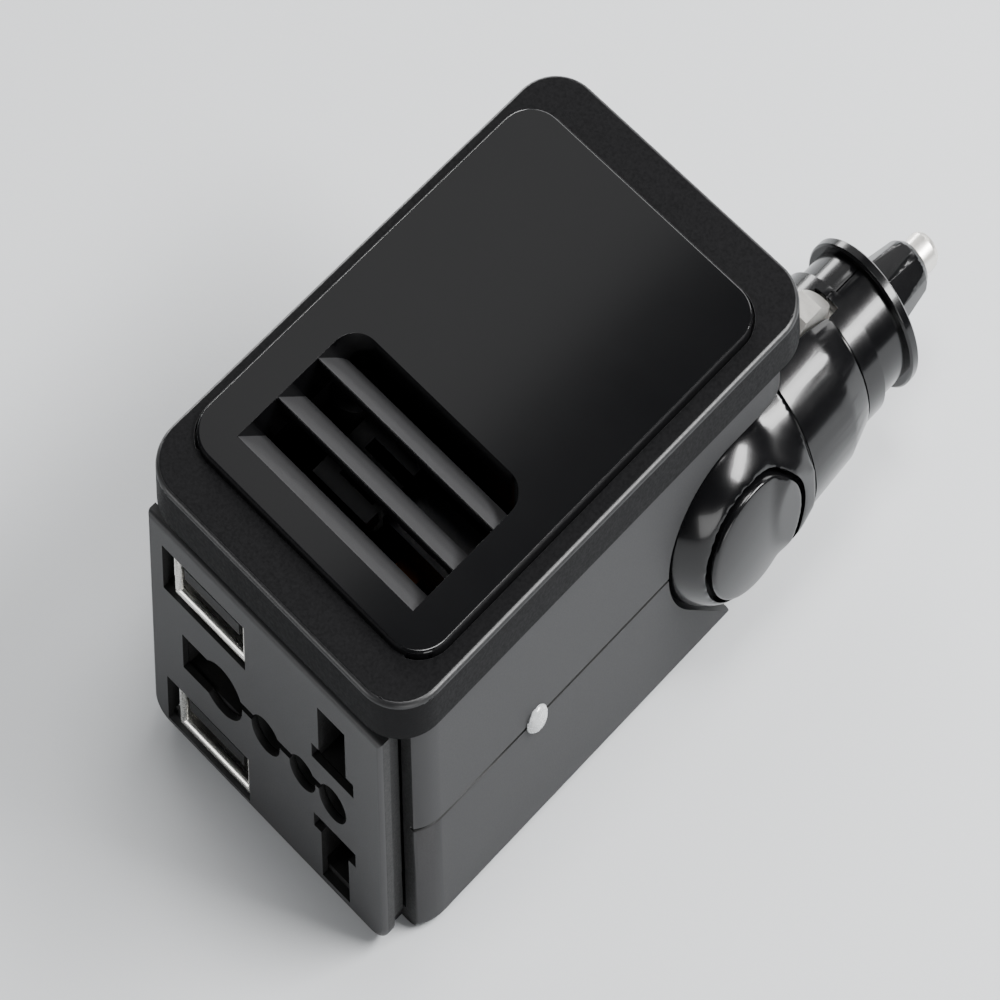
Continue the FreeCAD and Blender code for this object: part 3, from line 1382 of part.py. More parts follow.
def make_pivot_clip():
    """Open spring clip in the trunnion's groove, behind the bearing."""
    span = (f"{CLIP_RIGHT} - ClipThick", CLIP_RIGHT)
    ring = rod("ClipDisc", "x", PIVOT, "ClipRadius", *span)
    hole = rod("ClipHole", "x", PIVOT, "TrunnionRadius - ClipDepth + 0.03", f"{span[0]} - 1", f"{span[1]} + 1")
    mouth = box("ClipMouthCut", (f"{span[0]} - 1", f"{span[1]} + 1"), centred("PivotPlace", "ClipMouth"), ("SplitHeight - 2 * ClipRadius", "SplitHeight"))
    return cut("PivotClip", ring, hole, mouth)


def make_plug_screws():
    """Two screws under the cap that clamp the plug's halves."""
    gang = doc.addObject("Part::Compound", "PlugScrews")
    gang.Links = [
        screw(f"PlugScrew{key}", "x", place, CAP_SEAT, -1, "PlugScrewRadius", "PlugScrewHead", "PlugScrewHeadTall", "PlugScrewLength")
        for key, place in PLUG_SCREWS.items()
    ]
    return gang


def make_nose_cap():
    """Flange and faceted cone that close the plug's end, with a spigot into its bore."""
    flange = turned("NoseFlange", PLUG_LINE, "Y", [
        ("NeckEnd", "0"), ("NeckEnd", "FlangeRadius - FlangeRound"), ("NeckEnd + FlangeRound", "FlangeRadius"),
        ("FlangeEnd - FlangeRound", "FlangeRadius"), ("FlangeEnd", "FlangeRadius - FlangeRound"), ("FlangeEnd", "0"),
    ])
    cone = turned("NoseCone", PLUG_LINE, "Y", [
        ("FlangeEnd - 0.5", "0"), ("FlangeEnd - 0.5", "NoseBase"), ("FlangeEnd", "NoseBase"),
        ("NoseTopPlace", "NoseTop"), ("NoseEnd", "NoseEndRadius"), ("NoseEnd", "0"),
    ])
    sections = []
    for name, radius, place in (("Base", "NoseBase", "FlangeEnd - 0.5"), ("Top", "NoseTop", "NoseEnd")):
        facets = doc.addObject("Part::RegularPolygon", f"NoseFacets{name}")
        facets.Polygon = 8
        facets.Placement = FreeCAD.Placement(FreeCAD.Vector(), ALONG["y"] * FreeCAD.Rotation(FreeCAD.Vector(0, 0, 1), 22.5))
        bind(facets, "Circumradius", f"{radius} * NoseFacet / cos(22.5)")
        for axis, formula in zip("xyz", (PLUG_ACROSS, place, "SplitHeight")):
            bind(facets, f"Placement.Base.{axis}", formula)
        sections.append(facets)
    prismoid = doc.addObject("Part::Loft", "NoseFacets")
    prismoid.Sections = sections
    prismoid.Solid = True
    prismoid.Ruled = True
    faceted = common("NoseFaceted", cone, prismoid)
    spigot = rod("NoseSpigot", "y", PLUG_CENTRE, "SpigotRadius", "NeckEnd - SpigotLength", "NeckEnd + 0.5")
    bore = rod("NoseWay", "y", PLUG_CENTRE, "NoseBore", "NeckEnd - SpigotLength - 1", NOSE_HOLE)
    hole = rod("NoseHole", "y", PLUG_CENTRE, "TipRadius + TipClear", f"{NOSE_HOLE} - 1", "NoseEnd + 1")
    return cut("NoseCap", fuse("NoseSolid", flange, faceted, spigot), bore, hole)


def make_centre_pin():
    """Sprung tip with a collar that stops it inside the nose."""
    return turned("CentrePin", PLUG_LINE, "Y", [
        (TIP_COLLAR_BACK, "0"), (TIP_COLLAR_BACK, "TipCollar"), (TIP_COLLAR_FRONT, "TipCollar"),
        (TIP_COLLAR_FRONT, "TipRadius"), ("TipEnd - TipRound", "TipRadius"),
        ("TipEnd - TipRound / 3", "TipRadius - TipRound / 3"), ("TipEnd", "TipRadius - TipRound"), ("TipEnd", "0"),
    ])


def make_fuse_tube():
    """Glass tube of the fuse."""
    outer = "(FuseCapRadius - FuseCapWall - 0.03)"
    span = (f"{FUSE_BACK} + FuseCapWall + 0.05", f"{TIP_COLLAR_BACK} - FuseCapWall - 0.05")
    glass = rod("FuseGlass", "y", PLUG_CENTRE, outer, *span)
    room = rod("FuseRoom", "y", PLUG_CENTRE, f"{outer} - FuseTubeWall", f"{span[0]} - 1", f"{span[1]} + 1")
    return cut("FuseTube", glass, room)


def make_fuse_caps():
    """Two end caps of the fuse, joined by its wire."""
    wire = rod("FuseLink", "y", PLUG_CENTRE, "FuseWire", f"{FUSE_BACK} + FuseCapWall / 2", f"{TIP_COLLAR_BACK} - FuseCapWall / 2")
    caps = []
    for name, low, high, open_low, open_high in (
        ("Rear", FUSE_BACK, f"{FUSE_BACK} + FuseCapLength", f"{FUSE_BACK} + FuseCapWall", f"{FUSE_BACK} + FuseCapLength + 1"),
        ("Front", f"{TIP_COLLAR_BACK} - FuseCapLength", TIP_COLLAR_BACK, f"{TIP_COLLAR_BACK} - FuseCapLength - 1", f"{TIP_COLLAR_BACK} - FuseCapWall"),
    ):
        cup = rod(f"FuseCup{name}", "y", PLUG_CENTRE, "FuseCapRadius", low, high)
        room = rod(f"FuseCupRoom{name}", "y", PLUG_CENTRE, "FuseCapRadius - FuseCapWall", open_low, open_high)
        caps.append(cut(f"FuseCap{name}", cup, room))
    return fuse("FuseCaps", wire, *caps)


def make_tip_spring():
    """Spring behind the fuse, drawn at its pressed length on its seat."""
    turns = SIZES["SpringTurns"]
    pitch = SIZES["SpringPitch"]
    wire = SIZES["SpringWire"] / 2
    radius = SIZES["SpringRadius"]
    across = SIZES["CaseWidth"] / 2 - SIZES["PlugInset"]
    path = Part.Wire(Part.makeHelix(pitch, pitch * turns, radius).Edges)
    turns_of_ring = [math.radians(60 * step) for step in range(7)]
    section = Part.makePolygon([
        FreeCAD.Vector(radius + wire * math.cos(turn), 0, wire * math.sin(turn)) for turn in turns_of_ring])
    coil = path.makePipeShell([section], True, True)
    spring = doc.addObject("Part::Feature", "TipSpring")
    spring.Shape = coil
    spring.Placement = FreeCAD.Placement(
        FreeCAD.Vector(across, SIZES["SpringSeat"] + wire + 0.02, SIZES["SplitHeight"]), ALONG["y"])
    return spring


def make_side_contact(key, sign):
    """Bowed strip that shows in the sleeve's slot, with a foot that stops it inside."""
    def height(level):
        return f"(SplitHeight {sign} ({level}))"

    corners = [
        ("ContactStart", height("ContactSeat - ContactFoot / 2")),
        ("ContactStart", height("ContactRear")),
        ("ContactCrownStart", height("ContactCrown")),
        ("ContactCrownEnd", height("ContactCrown")),
        ("ContactEnd", height("ContactFront")),
        ("ContactEnd", height("ContactSeat - ContactFoot / 2")),
    ]
    bow = prism(f"Bow{key}", "YZ", corners, *centred(PLUG_ACROSS, "ContactWidth"))
    high = SIZES["ContactEnd"]
    round_edges(bow, "ContactWidth / 2.2", lambda edge: is_upright(edge) and abs(edge.Vertexes[0].Y - high) < 1e-6)
    levels = ["ContactSeat - ContactFoot", "ContactSeat"]
    if sign == "-":
        levels.reverse()
    foot = box(
        f"Foot{key}",
        centred(PLUG_ACROSS, "2 * ContactFootSide"),
        grown(("ContactStart", "ContactEnd"), "ContactFootReach"),
        (height(levels[0]), height(levels[1])),
    )
    return fuse(f"Contact{key}", bow, foot)


# Make every piece
node("lower_shell", make_lower_shell())
node("upper_shell", make_upper_shell())
node("top_cover", make_top_cover())
node("vent_panel", make_vent_panel())
node("socket_panel", make_socket_panel())
node("socket_block", make_socket_block())
node("live_contact", make_pin_contact("LiveContact", "+"))
node("neutral_contact", make_pin_contact("NeutralContact", "-"))
node("earth_contact", make_earth_contact())
for level in ("Upper", "Lower"):
    node(f"usb_shell_{level.lower()}", make_usb_shell(level))
    node(f"usb_tongue_{level.lower()}", make_usb_tongue(level))
node("usb_board", make_usb_board())
node("status_led", make_status_led())
node("main_board", make_main_board())
node("transformer_core", make_transformer_core())
node("transformer_winding", make_transformer_winding())
node("heat_sink", make_heat_sink())
node("power_transistors", make_power_transistors())
node("filter_capacitor", make_can("FilterCapacitor", (FILTER_ACROSS, "FilterAlong"), "FilterRadius", "FilterTall"))
node("input_capacitors", make_input_capacitors())
node("toroid_choke", make_toroid_choke())
node("case_screws", make_case_screws())
node("board_screws", make_board_screws())
plug_sleeve_form = plug_sleeve()
plug_left, plug_right = make_plug_halves(plug_sleeve_form)
node("plug_half_left", plug_left)
node("plug_half_right", plug_right)
node("pivot_cap", make_pivot_cap(plug_sleeve_form))
node("pivot_washer", make_pivot_washer())
node("pivot_clip", make_pivot_clip())
node("plug_screws", make_plug_screws())
node("nose_cap", make_nose_cap())
node("centre_pin", make_centre_pin())
node("fuse_tube", make_fuse_tube())
node("fuse_caps", make_fuse_caps())
node("tip_spring", make_tip_spring())
node("contact_top", make_side_contact("Top", "+"))
node("contact_bottom", make_side_contact("Bottom", "-"))

# Check every object, then write each piece
doc.recompute()
for item in doc.Objects:
    if "Invalid" in item.State or "Error" in item.State:
        raise RuntimeError(f"{item.Name} failed: {item.State}")
os.makedirs("parts", exist_ok=True)
for label, piece in nodes.items():
    shape = piece.Shape
    if shape.isNull() or not shape.isValid() or not shape.Solids:
        raise RuntimeError(f"{label} has no valid solid")
    shape.exportStep(f"parts/{label}.step")
    bounds = shape.BoundBox
    print(
        f"{label}: {len(shape.Solids)} solid(s), {shape.Volume:.1f} mm3, "
        f"x {bounds.XMin:.2f}..{bounds.XMax:.2f}, y {bounds.YMin:.2f}..{bounds.YMax:.2f}, "
        f"z {bounds.ZMin:.2f}..{bounds.ZMax:.2f}")
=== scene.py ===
# %% [markdown]
# # A plug-in car power inverter
# This lesson dresses a small moulded box in Blender. The box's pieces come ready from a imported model, each at its
# real place and size. We give each one its finish, and model by hand the pieces that need softer shapes than the
# packed ones have. Everything is in metres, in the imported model's own frame: X to the right seen from the socket
# end, Y to the rear towards the plug, Z up.

# %% Load the frame
import json
import math

import bmesh
import bpy
import numpy
from mathutils import Matrix, Vector


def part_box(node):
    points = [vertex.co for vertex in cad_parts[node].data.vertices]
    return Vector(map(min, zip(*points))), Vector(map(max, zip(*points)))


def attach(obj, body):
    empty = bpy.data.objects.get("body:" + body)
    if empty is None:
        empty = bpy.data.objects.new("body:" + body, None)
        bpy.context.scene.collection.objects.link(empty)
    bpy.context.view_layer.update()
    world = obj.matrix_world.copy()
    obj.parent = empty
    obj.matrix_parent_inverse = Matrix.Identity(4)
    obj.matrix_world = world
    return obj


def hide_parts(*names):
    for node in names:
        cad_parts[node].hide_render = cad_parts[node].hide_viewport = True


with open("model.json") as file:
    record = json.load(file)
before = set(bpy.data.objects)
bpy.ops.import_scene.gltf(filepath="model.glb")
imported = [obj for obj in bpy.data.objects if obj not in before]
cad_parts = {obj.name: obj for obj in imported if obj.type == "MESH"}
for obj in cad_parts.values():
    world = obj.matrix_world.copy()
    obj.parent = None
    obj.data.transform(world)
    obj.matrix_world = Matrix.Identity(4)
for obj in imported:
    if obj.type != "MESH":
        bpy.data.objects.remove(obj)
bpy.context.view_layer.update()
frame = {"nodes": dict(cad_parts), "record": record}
MM = 0.001
print("pieces in the frame:", len(frame["nodes"]))

# %% [markdown]
# ## The camera
# The photograph that this lesson follows was stretched to 1.25 times its height after it was taken. A plain camera
# can't stretch one direction, because Blender drops a camera's scale. It keeps a slant, though, and a slanted,
# slightly longer lens gives the same picture to about three pixels. The three directions below are the camera's
# right, up and back. They are split into a turned and scaled parent and a turned child, which together hold a slant.

# %% Camera
CAMERA_PLACE = Vector((646.24, -613.43, 1186.42)) * MM
CAMERA_RIGHT = (0.72970267, 0.68339782, 0.02239266)
CAMERA_UP = (-0.17725832, 0.20593808, 0.96237674)
CAMERA_BACK = (0.43966333, -0.41961169, 0.79411724)
CAMERA_REACH = 10.245
SENSOR = 36.0


def slanted(right, up, back):
    """Splits three directions into a turn, a scale and a first turn."""
    turn, scale, first = numpy.linalg.svd(numpy.array((right, up, back)).T)
    if numpy.linalg.det(turn) < 0:
        turn[:, 2] *= -1
        first[2, :] *= -1
    return Matrix(turn.tolist()), Vector(scale.tolist()), Matrix(first.tolist())


turn, scale, first = slanted(CAMERA_RIGHT, CAMERA_UP, CAMERA_BACK)
holder = bpy.data.objects.new("camera_holder", None)
holder.matrix_world = Matrix.Translation(CAMERA_PLACE) @ turn.to_4x4() @ Matrix.Diagonal((*scale, 1.0))
lens = bpy.data.cameras.new("camera")
lens.sensor_width = SENSOR
lens.sensor_fit = "HORIZONTAL"
lens.lens = CAMERA_REACH * SENSOR
lens.clip_start = 0.1
lens.clip_end = 20.0
camera = bpy.data.objects.new("camera", lens)
camera.parent = holder
camera.rotation_mode = "QUATERNION"
camera.rotation_quaternion = first.to_quaternion()
for item in (holder, camera):
    bpy.context.scene.collection.objects.link(item)
bpy.context.scene.camera = camera
print("camera", round(CAMERA_PLACE.length, 3), "m away")

# %% [markdown]
# ## Colours and nodes
# Colours are written as sRGB hex values, as a paint chart or a picture editor shows them. Blender's shaders work with
# linear light, so one function turns each value. A second small function adds a node with its settings and its links,
# which keeps every finish below to a few readable lines.

# %% Colour and node helpers
def linear(code):
    """Linear RGBA of an sRGB hex colour."""
    parts = [int(code[place:place + 2], 16) / 255 for place in (1, 3, 5)]
    return tuple(c / 12.92 if c <= 0.04045 else ((c + 0.055) / 1.055) ** 2.4 for c in parts) + (1.0,)


def add(tree, kind, values=None, feeds=None, **settings):
    """Adds a node with its settings, its input values and its links."""
    made = tree.nodes.new(kind)
    for name, value in settings.items():
        setattr(made, name, value)
    for name, value in (values or {}).items():
        made.inputs[name].default_value = value
    for name, output in (feeds or {}).items():
        tree.links.new(output, made.inputs[name])
    return made


def new_finish(name, colour, roughness, **sockets):
    """A material with one Principled shader, its constants set on the shader's own sockets."""
    material = bpy.data.materials.new(name)
    material.use_nodes = True
    shader = material.node_tree.nodes["Principled BSDF"]
    shader.inputs["Base Color"].default_value = linear(colour)
    shader.inputs["Roughness"].default_value = roughness
    for socket, value in sockets.items():
        shader.inputs[socket.replace("_", " ")].default_value = value
    print("finish", name, colour)
    return material, material.node_tree, shader


def grain(tree, shader, size, rough, depth, stretch=(1.0, 1.0, 1.0), colours=None):
    """Gives a surface grains of a real size in mm: rough is a span of roughness, depth a bump in mm."""
    place = add(tree, "ShaderNodeTexCoord")
    turned = add(tree, "ShaderNodeMapping", {"Scale": stretch}, {"Vector": place.outputs["Object"]})
    noise = add(
        tree, "ShaderNodeTexNoise", {"Scale": 1.0 / (size * MM), "Detail": 3.0, "Roughness": 0.6},
        {"Vector": turned.outputs["Vector"]})
    span = add(
        tree, "ShaderNodeMapRange", {"From Min": 0.3, "From Max": 0.7, "To Min": rough[0], "To Max": rough[1]},
        {"Value": noise.outputs["Fac"]})
    tree.links.new(span.outputs["Result"], shader.inputs["Roughness"])
    bump = add(
        tree, "ShaderNodeBump", {"Strength": 1.0, "Distance": depth * MM}, {"Height": noise.outputs["Fac"]})
    tree.links.new(bump.outputs["Normal"], shader.inputs["Normal"])
    if colours:
        ramp = add(tree, "ShaderNodeValToRGB", feeds={"Fac": noise.outputs["Fac"]})
        ramp.color_ramp.elements[0].position, ramp.color_ramp.elements[1].position = 0.35, 0.65
        ramp.color_ramp.elements[0].color = linear(colours[0])
        ramp.color_ramp.elements[1].color = linear(colours[1])
        tree.links.new(ramp.outputs["Color"], shader.inputs["Base Color"])


finishes = {}
print("white is", linear("#ffffff"))

# %% [markdown]
# ## Moulded plastics
# The housing is ABS, a tough plastic that takes the texture of the steel mould that it was cast in. The maker gave
# each part of this mould its own texture: a spark-eroded satin on the two shells, a coarser leather-like grain on
# the lid, and a mirror polish on the inset panel and the plug. We draw each texture as grains of its real size,
# which change the roughness a little and raise a very shallow bump. An IOR of about 1.53 is right for ABS.

# %% Satin moulded ABS of the housing
# Spark-eroded mould: grains of about 0.25 mm that break up the light into an even, soft grey.
material, tree, shader = new_finish("satin_abs", "#2d2d2e", 0.5, IOR=1.53, Specular_IOR_Level=0.24)
grain(tree, shader, 0.25, (0.46, 0.58), 0.006, colours=("#2d2d2e", "#323233"))
finishes["satin_abs"] = material

# %% Satin moulded ABS of the socket panel
# The same plastic from another mould, a shade lighter and a little smoother.
material, tree, shader = new_finish("satin_abs_panel", "#363637", 0.48, IOR=1.53, Specular_IOR_Level=0.35)
grain(tree, shader, 0.22, (0.42, 0.54), 0.005, colours=("#343435", "#39393a"))
finishes["satin_abs_panel"] = material

# %% Grained ABS of the lid
# An etched mould: pebbles of about 0.5 mm, matt enough to leave the lid's flat sides nearly black.
material, tree, shader = new_finish("grained_abs", "#0e0e0f", 0.5, IOR=1.53, Specular_IOR_Level=0.06)
grain(tree, shader, 0.45, (0.42, 0.62), 0.02, colours=("#0b0b0c", "#121213"))
finishes["grained_abs"] = material

# %% Rubbed edges of the lid, with a painted highlight
# Hands rub the etched grain smoother along the edges; their lighter colour is a painted highlight, the thin line of
# light.
material, tree, shader = new_finish("rubbed_abs_painted_highlight", "#141415", 0.4, IOR=1.53)
grain(tree, shader, 0.45, (0.36, 0.46), 0.004, colours=("#111112", "#181819"))
finishes["rubbed_abs_painted_highlight"] = material

# %% Polished ABS of the vent panel
# Polished steel gives a gloss like lacquer. A thin clear coat lies over it, and the roughness below it changes slowly
# over 20 mm, which keeps the reflections from looking like glass.
material, tree, shader = new_finish(
    "polished_abs", "#080809", 0.16, IOR=1.53, Coat_Weight=0.1, Coat_Roughness=0.12)
grain(tree, shader, 20.0, (0.15, 0.18), 0.0)
finishes["polished_abs"] = material

# %% Satin ABS of the louvres, with painted light
# Round cutters can't polish the narrow blades, so they keep a fine satin of 0.2 mm grains. Their base colour, much
# paler than the polished panel's, is painted light: it stands for the light from behind that falls on the blades.
material, tree, shader = new_finish("satin_louvres_painted_light", "#303031", 0.45, IOR=1.53)
grain(tree, shader, 0.2, (0.4, 0.52), 0.004, colours=("#2e2e2f", "#333334"))
finishes["satin_louvres_painted_light"] = material

# %% Polished black plastic of the plug
# The plug is moulded in a harder, shinier grade. Its reflections are sharp, so the coat is nearly a mirror.
material, tree, shader = new_finish(
    "polished_plug", "#080809", 0.24, IOR=1.53, Specular_IOR_Level=0.3, Coat_Weight=0.2, Coat_Roughness=0.04)
grain(tree, shader, 10.0, (0.18, 0.26), 0.02)
finishes["polished_plug"] = material

# %% Black nylon
# The insulators behind the sockets are glass-filled nylon, which comes out of the mould dull, with fine flecks.
# The same black also stands as painted shade on the walls of the panel's openings and the housing's gaps.
material, tree, shader = new_finish("black_nylon_and_painted_shade", "#0b0b0b", 0.6, IOR=1.53)
grain(tree, shader, 0.3, (0.52, 0.72), 0.008, colours=("#090909", "#101010"))
finishes["black_nylon_and_painted_shade"] = material

# %% Black epoxy of the transistors
# Moulding compound filled with ground quartz: matt, with a slightly grey bloom.
material, tree, shader = new_finish("black_epoxy", "#111112", 0.7, IOR=1.55)
grain(tree, shader, 0.2, (0.6, 0.8), 0.006, colours=("#0e0e0e", "#161617"))
finishes["black_epoxy"] = material

# %% [markdown]
# ## Metals
# A metal has no colour of its own under its reflections: its base colour is the tint of its mirror. Rolled sheet
# keeps fine lines along the rolling direction, a plated turned part keeps faint rings, and zinc is dull and cloudy.
# The lines are the same grains as above, stretched along one axis.

# %% Rolled brass of the socket contacts
# Lines along Y, the direction in which the strip was rolled.
material, tree, shader = new_finish("rolled_brass", "#c9a25a", 0.3, Metallic=1.0)
grain(tree, shader, 0.3, (0.22, 0.42), 0.003, (1.0, 0.05, 1.0), ("#bd9650", "#d2ad68"))
finishes["rolled_brass"] = material

# %% Nickel-plated sheet of the USB sockets
# Thin steel, plated before it is folded. It is bright, with fine lines along the socket's width.
material, tree, shader = new_finish("nickel_sheet", "#e4e2dc", 0.3, Metallic=1.0)
grain(tree, shader, 0.25, (0.24, 0.34), 0.0, (0.05, 1.0, 1.0), ("#dcdad4", "#ecebe6"))
finishes["nickel_sheet"] = material

# %% Bright nickel plate of the plug's metal
# Turned brass with a thick bright plate, rubbed a little dull by use. Turning leaves faint rings, about 0.4 mm apart.
material, tree, shader = new_finish("bright_nickel", "#f0ede7", 0.36, Metallic=1.0)
grain(tree, shader, 0.4, (0.34, 0.39), 0.0, (0.3, 1.0, 0.3), ("#edeae4", "#f2efe9"))
finishes["bright_nickel"] = material

# %% Zinc-plated steel of the small hardware
# Cloudy grey patches of about 1 mm, as zinc crystals leave.
material, tree, shader = new_finish("zinc_steel", "#a9abad", 0.38, Metallic=1.0)
grain(tree, shader, 1.0, (0.30, 0.48), 0.003, colours=("#9c9ea1", "#b6b8ba"))
finishes["zinc_steel"] = material

# %% Blackened aluminium of the heat sink
# Bent sheet, anodised black so that it radiates well. It looks like soot with a faint sheen.
material, tree, shader = new_finish("black_anodised", "#1b1b1d", 0.55, Metallic=0.4)
grain(tree, shader, 0.4, (0.48, 0.66), 0.004, (1.0, 0.1, 1.0), ("#18181a", "#202022"))
finishes["black_anodised"] = material

# %% [markdown]
# ## Electronics
# Little of the inside shows, but each piece still gets the finish that a technician would expect when the lid is off.

# %% Solder mask of the two boards
# Green lacquer over copper. Straight tracks about 1.2 mm wide show through it as a paler green, and each is slightly
# raised. A brick pattern with long bricks draws them.
material, tree, shader = new_finish("solder_mask", "#123d24", 0.35, IOR=1.5, Coat_Weight=0.4, Coat_Roughness=0.2)
place = add(tree, "ShaderNodeTexCoord")
tracks = add(
    tree, "ShaderNodeTexBrick",
    {"Color1": (0, 0, 0, 1), "Color2": (0, 0, 0, 1), "Mortar": (1, 1, 1, 1), "Scale": 1.0, "Mortar Size": 0.6 * MM,
     "Brick Width": 9.0 * MM, "Row Height": 3.2 * MM, "Mortar Smooth": 0.1},
    {"Vector": place.outputs["Object"]})
mask = add(
    tree, "ShaderNodeMix", {"A": linear("#0f3a20"), "B": linear("#1d5a33")},
    {"Factor": tracks.outputs["Color"]}, data_type="RGBA")
bump = add(tree, "ShaderNodeBump", {"Distance": 0.035 * MM}, {"Height": tracks.outputs["Color"]})
tree.links.new(mask.outputs[2], shader.inputs["Base Color"])
tree.links.new(bump.outputs["Normal"], shader.inputs["Normal"])
finishes["solder_mask"] = material

# %% Ground ferrite
# Pressed and fired iron oxide: dark grey ceramic, matt, with a fine sandy grain.
material, tree, shader = new_finish("ground_ferrite", "#2b2b2e", 0.65, IOR=2.3)
grain(tree, shader, 0.3, (0.55, 0.8), 0.01, colours=("#252528", "#343438"))
finishes["ground_ferrite"] = material

# %% Enamelled copper winding
# Turns of 0.6 mm wire lie side by side, so the surface is ribbed across the height. A band wave draws the turns.
material, tree, shader = new_finish("enamelled_copper", "#8a4a22", 0.3, Metallic=0.8, Coat_Weight=0.5)
place = add(tree, "ShaderNodeTexCoord")
turns = add(
    tree, "ShaderNodeTexWave", {"Scale": 1.0 / (0.6 * MM) / math.tau * 0.5, "Distortion": 0.3},
    {"Vector": place.outputs["Object"]}, bands_direction="Z")
wire = add(
    tree, "ShaderNodeMix", {"A": linear("#5a2c12"), "B": linear("#a55f30")},
    {"Factor": turns.outputs["Fac"]}, data_type="RGBA")
bump = add(tree, "ShaderNodeBump", {"Distance": 0.2 * MM}, {"Height": turns.outputs["Fac"]})
tree.links.new(wire.outputs[2], shader.inputs["Base Color"])
tree.links.new(bump.outputs["Normal"], shader.inputs["Normal"])
finishes["enamelled_copper"] = material

# %% Shrink sleeve of the capacitors
# Black film shrunk over the can, with faint ripples of about 2 mm.
material, tree, shader = new_finish("shrink_sleeve", "#0d1117", 0.35, IOR=1.54, Coat_Weight=0.3)
grain(tree, shader, 2.0, (0.3, 0.42), 0.02, colours=("#0b0e13", "#10151c"))
finishes["shrink_sleeve"] = material

# %% Clear epoxy of the status light
# A water-clear dome that looks milky, because the frosted die inside it scatters the light. It is frosted by a fine
# grain, so it shows as a pale bead with a soft highlight.
material, tree, shader = new_finish(
    "clear_epoxy", "#e9ebec", 0.2, IOR=1.55, Transmission_Weight=0.45, Coat_Weight=0.5, Coat_Roughness=0.05)
grain(tree, shader, 0.3, (0.15, 0.32), 0.003)
finishes["clear_epoxy"] = material

# %% Clear glass of the fuse
# Drawn tube: clean, with faint lines along its length.
material, tree, shader = new_finish("clear_glass", "#eef4f3", 0.03, IOR=1.5, Transmission_Weight=0.95)
grain(tree, shader, 0.5, (0.02, 0.06), 0.001, (1.0, 0.05, 1.0))
finishes["clear_glass"] = material
print("finishes:", len(finishes))

# %% [markdown]
# ## Which piece wears which finish
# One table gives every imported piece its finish. The pieces that we model again below take theirs from it as well.

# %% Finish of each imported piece
WEARS = {
    "satin_abs": ("lower_shell", "upper_shell"),
    "grained_abs": ("top_cover",),
    "polished_abs": ("vent_panel",),
    "satin_abs_panel": ("socket_panel",),
    "black_nylon_and_painted_shade": ("socket_block", "usb_tongue_upper", "usb_tongue_lower"),
    "black_epoxy": ("power_transistors",),
    "rolled_brass": ("live_contact", "neutral_contact", "earth_contact"),
    "nickel_sheet": ("usb_shell_upper", "usb_shell_lower"),
    "solder_mask": ("usb_board", "main_board"),
    "clear_epoxy": ("status_led",),
    "ground_ferrite": ("transformer_core",),
    "enamelled_copper": ("transformer_winding", "toroid_choke"),
    "black_anodised": ("heat_sink",),
    "shrink_sleeve": ("filter_capacitor", "input_capacitors"),
    "zinc_steel": ("case_screws", "board_screws", "pivot_washer", "pivot_clip", "plug_screws", "tip_spring"),
    "polished_plug": ("plug_half_left", "plug_half_right", "pivot_cap", "nose_cap"),
    "bright_nickel": ("centre_pin", "fuse_caps", "contact_top", "contact_bottom"),
    "clear_glass": ("fuse_tube",),
}
finish_of = {node: finishes[name] for name, worn in WEARS.items() for node in worn}
for node, item in frame["nodes"].items():
    item.data.materials.clear()
    item.data.materials.append(finish_of[node])
print("pieces without a finish:", sorted(set(frame["nodes"]) - set(finish_of)))

# %% [markdown]
# ## Broken edges
# No moulded edge is perfectly sharp: steel moulds and plastic both leave a radius of a tenth of a millimetre or more,
# and that radius is what catches a thin line of light along every edge in a photograph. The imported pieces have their
# large radii, but not these. We could model each piece again, but the shapes are right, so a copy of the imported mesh
# is merged, gets a Bevel modifier on its sharp edges only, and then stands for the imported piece.

# %% Helpers for working on one object
SHARP = 30


def only(item):
    """Deselects everything, then selects one object and makes it active."""
    bpy.ops.object.select_all(action="DESELECT")
    item.select_set(True)
    bpy.context.view_layer.objects.active = item


def finished(item, node, body):
    """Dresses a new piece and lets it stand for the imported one."""
    item.data.validate()
    item.data.materials.clear()
    item.data.materials.append(finish_of[node])
    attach(item, body)
    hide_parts(node)
    print(item.name, len(item.data.polygons), "faces")


def shaded(item, sharp=SHARP):
    """Smooth shading that keeps sharp edges and lets the large flat faces stay flat."""
    only(item)
    bpy.ops.object.shade_smooth_by_angle(angle=math.radians(sharp))
    weigh = item.modifiers.new("flat faces", "WEIGHTED_NORMAL")
    weigh.keep_sharp, weigh.weight = True, 100
    bpy.ops.object.modifier_apply(modifier=weigh.name)
    return item


def softened(node, width):
    """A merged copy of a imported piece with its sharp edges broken; the width is in mm."""
    source = frame["nodes"][node]
    item = bpy.data.objects.new(f"{node}_soft", source.data.copy())
    bpy.context.scene.collection.objects.link(item)
    only(item)
    bpy.ops.mesh.customdata_custom_splitnormals_clear()
    bpy.ops.object.mode_set(mode="EDIT")
    bpy.ops.mesh.select_all(action="SELECT")
    bpy.ops.mesh.remove_doubles(threshold=0.0005 * MM)
    bpy.ops.mesh.dissolve_limited(angle_limit=math.radians(0.5))
    bpy.ops.object.mode_set(mode="OBJECT")
    bevel = item.modifiers.new("broken edges", "BEVEL")
    bevel.width, bevel.segments = width * MM, 2
    bevel.limit_method, bevel.angle_limit = "ANGLE", math.radians(SHARP)
    bevel.use_clamp_overlap = True
    bpy.ops.object.modifier_apply(modifier=bevel.name)
    return shaded(item)


# %% Housing, lid, socket panel and plug with broken edges
BODY_OF = {node: body for body, nodes in frame["record"]["behaviour"]["bodies"].items() for node in nodes}
EDGES = {
    "lower_shell": 0.2, "upper_shell": 0.2, "top_cover": 0.25, "socket_panel": 0.15, "plug_half_left": 0.1,
    "nose_cap": 0.12, "centre_pin": 0.1,
}
soft = {node: softened(node, width) for node, width in EDGES.items()}
print("softened:", ", ".join(soft))

# %% [markdown]
# ## Tools for modelling
# Most new shapes below are cut from blocks, as the steel mould was. We could type each block's mesh by hand, but a few
# small tools read better: one adds a block, one selects edges or faces by their place, one rounds, one joins or cuts.

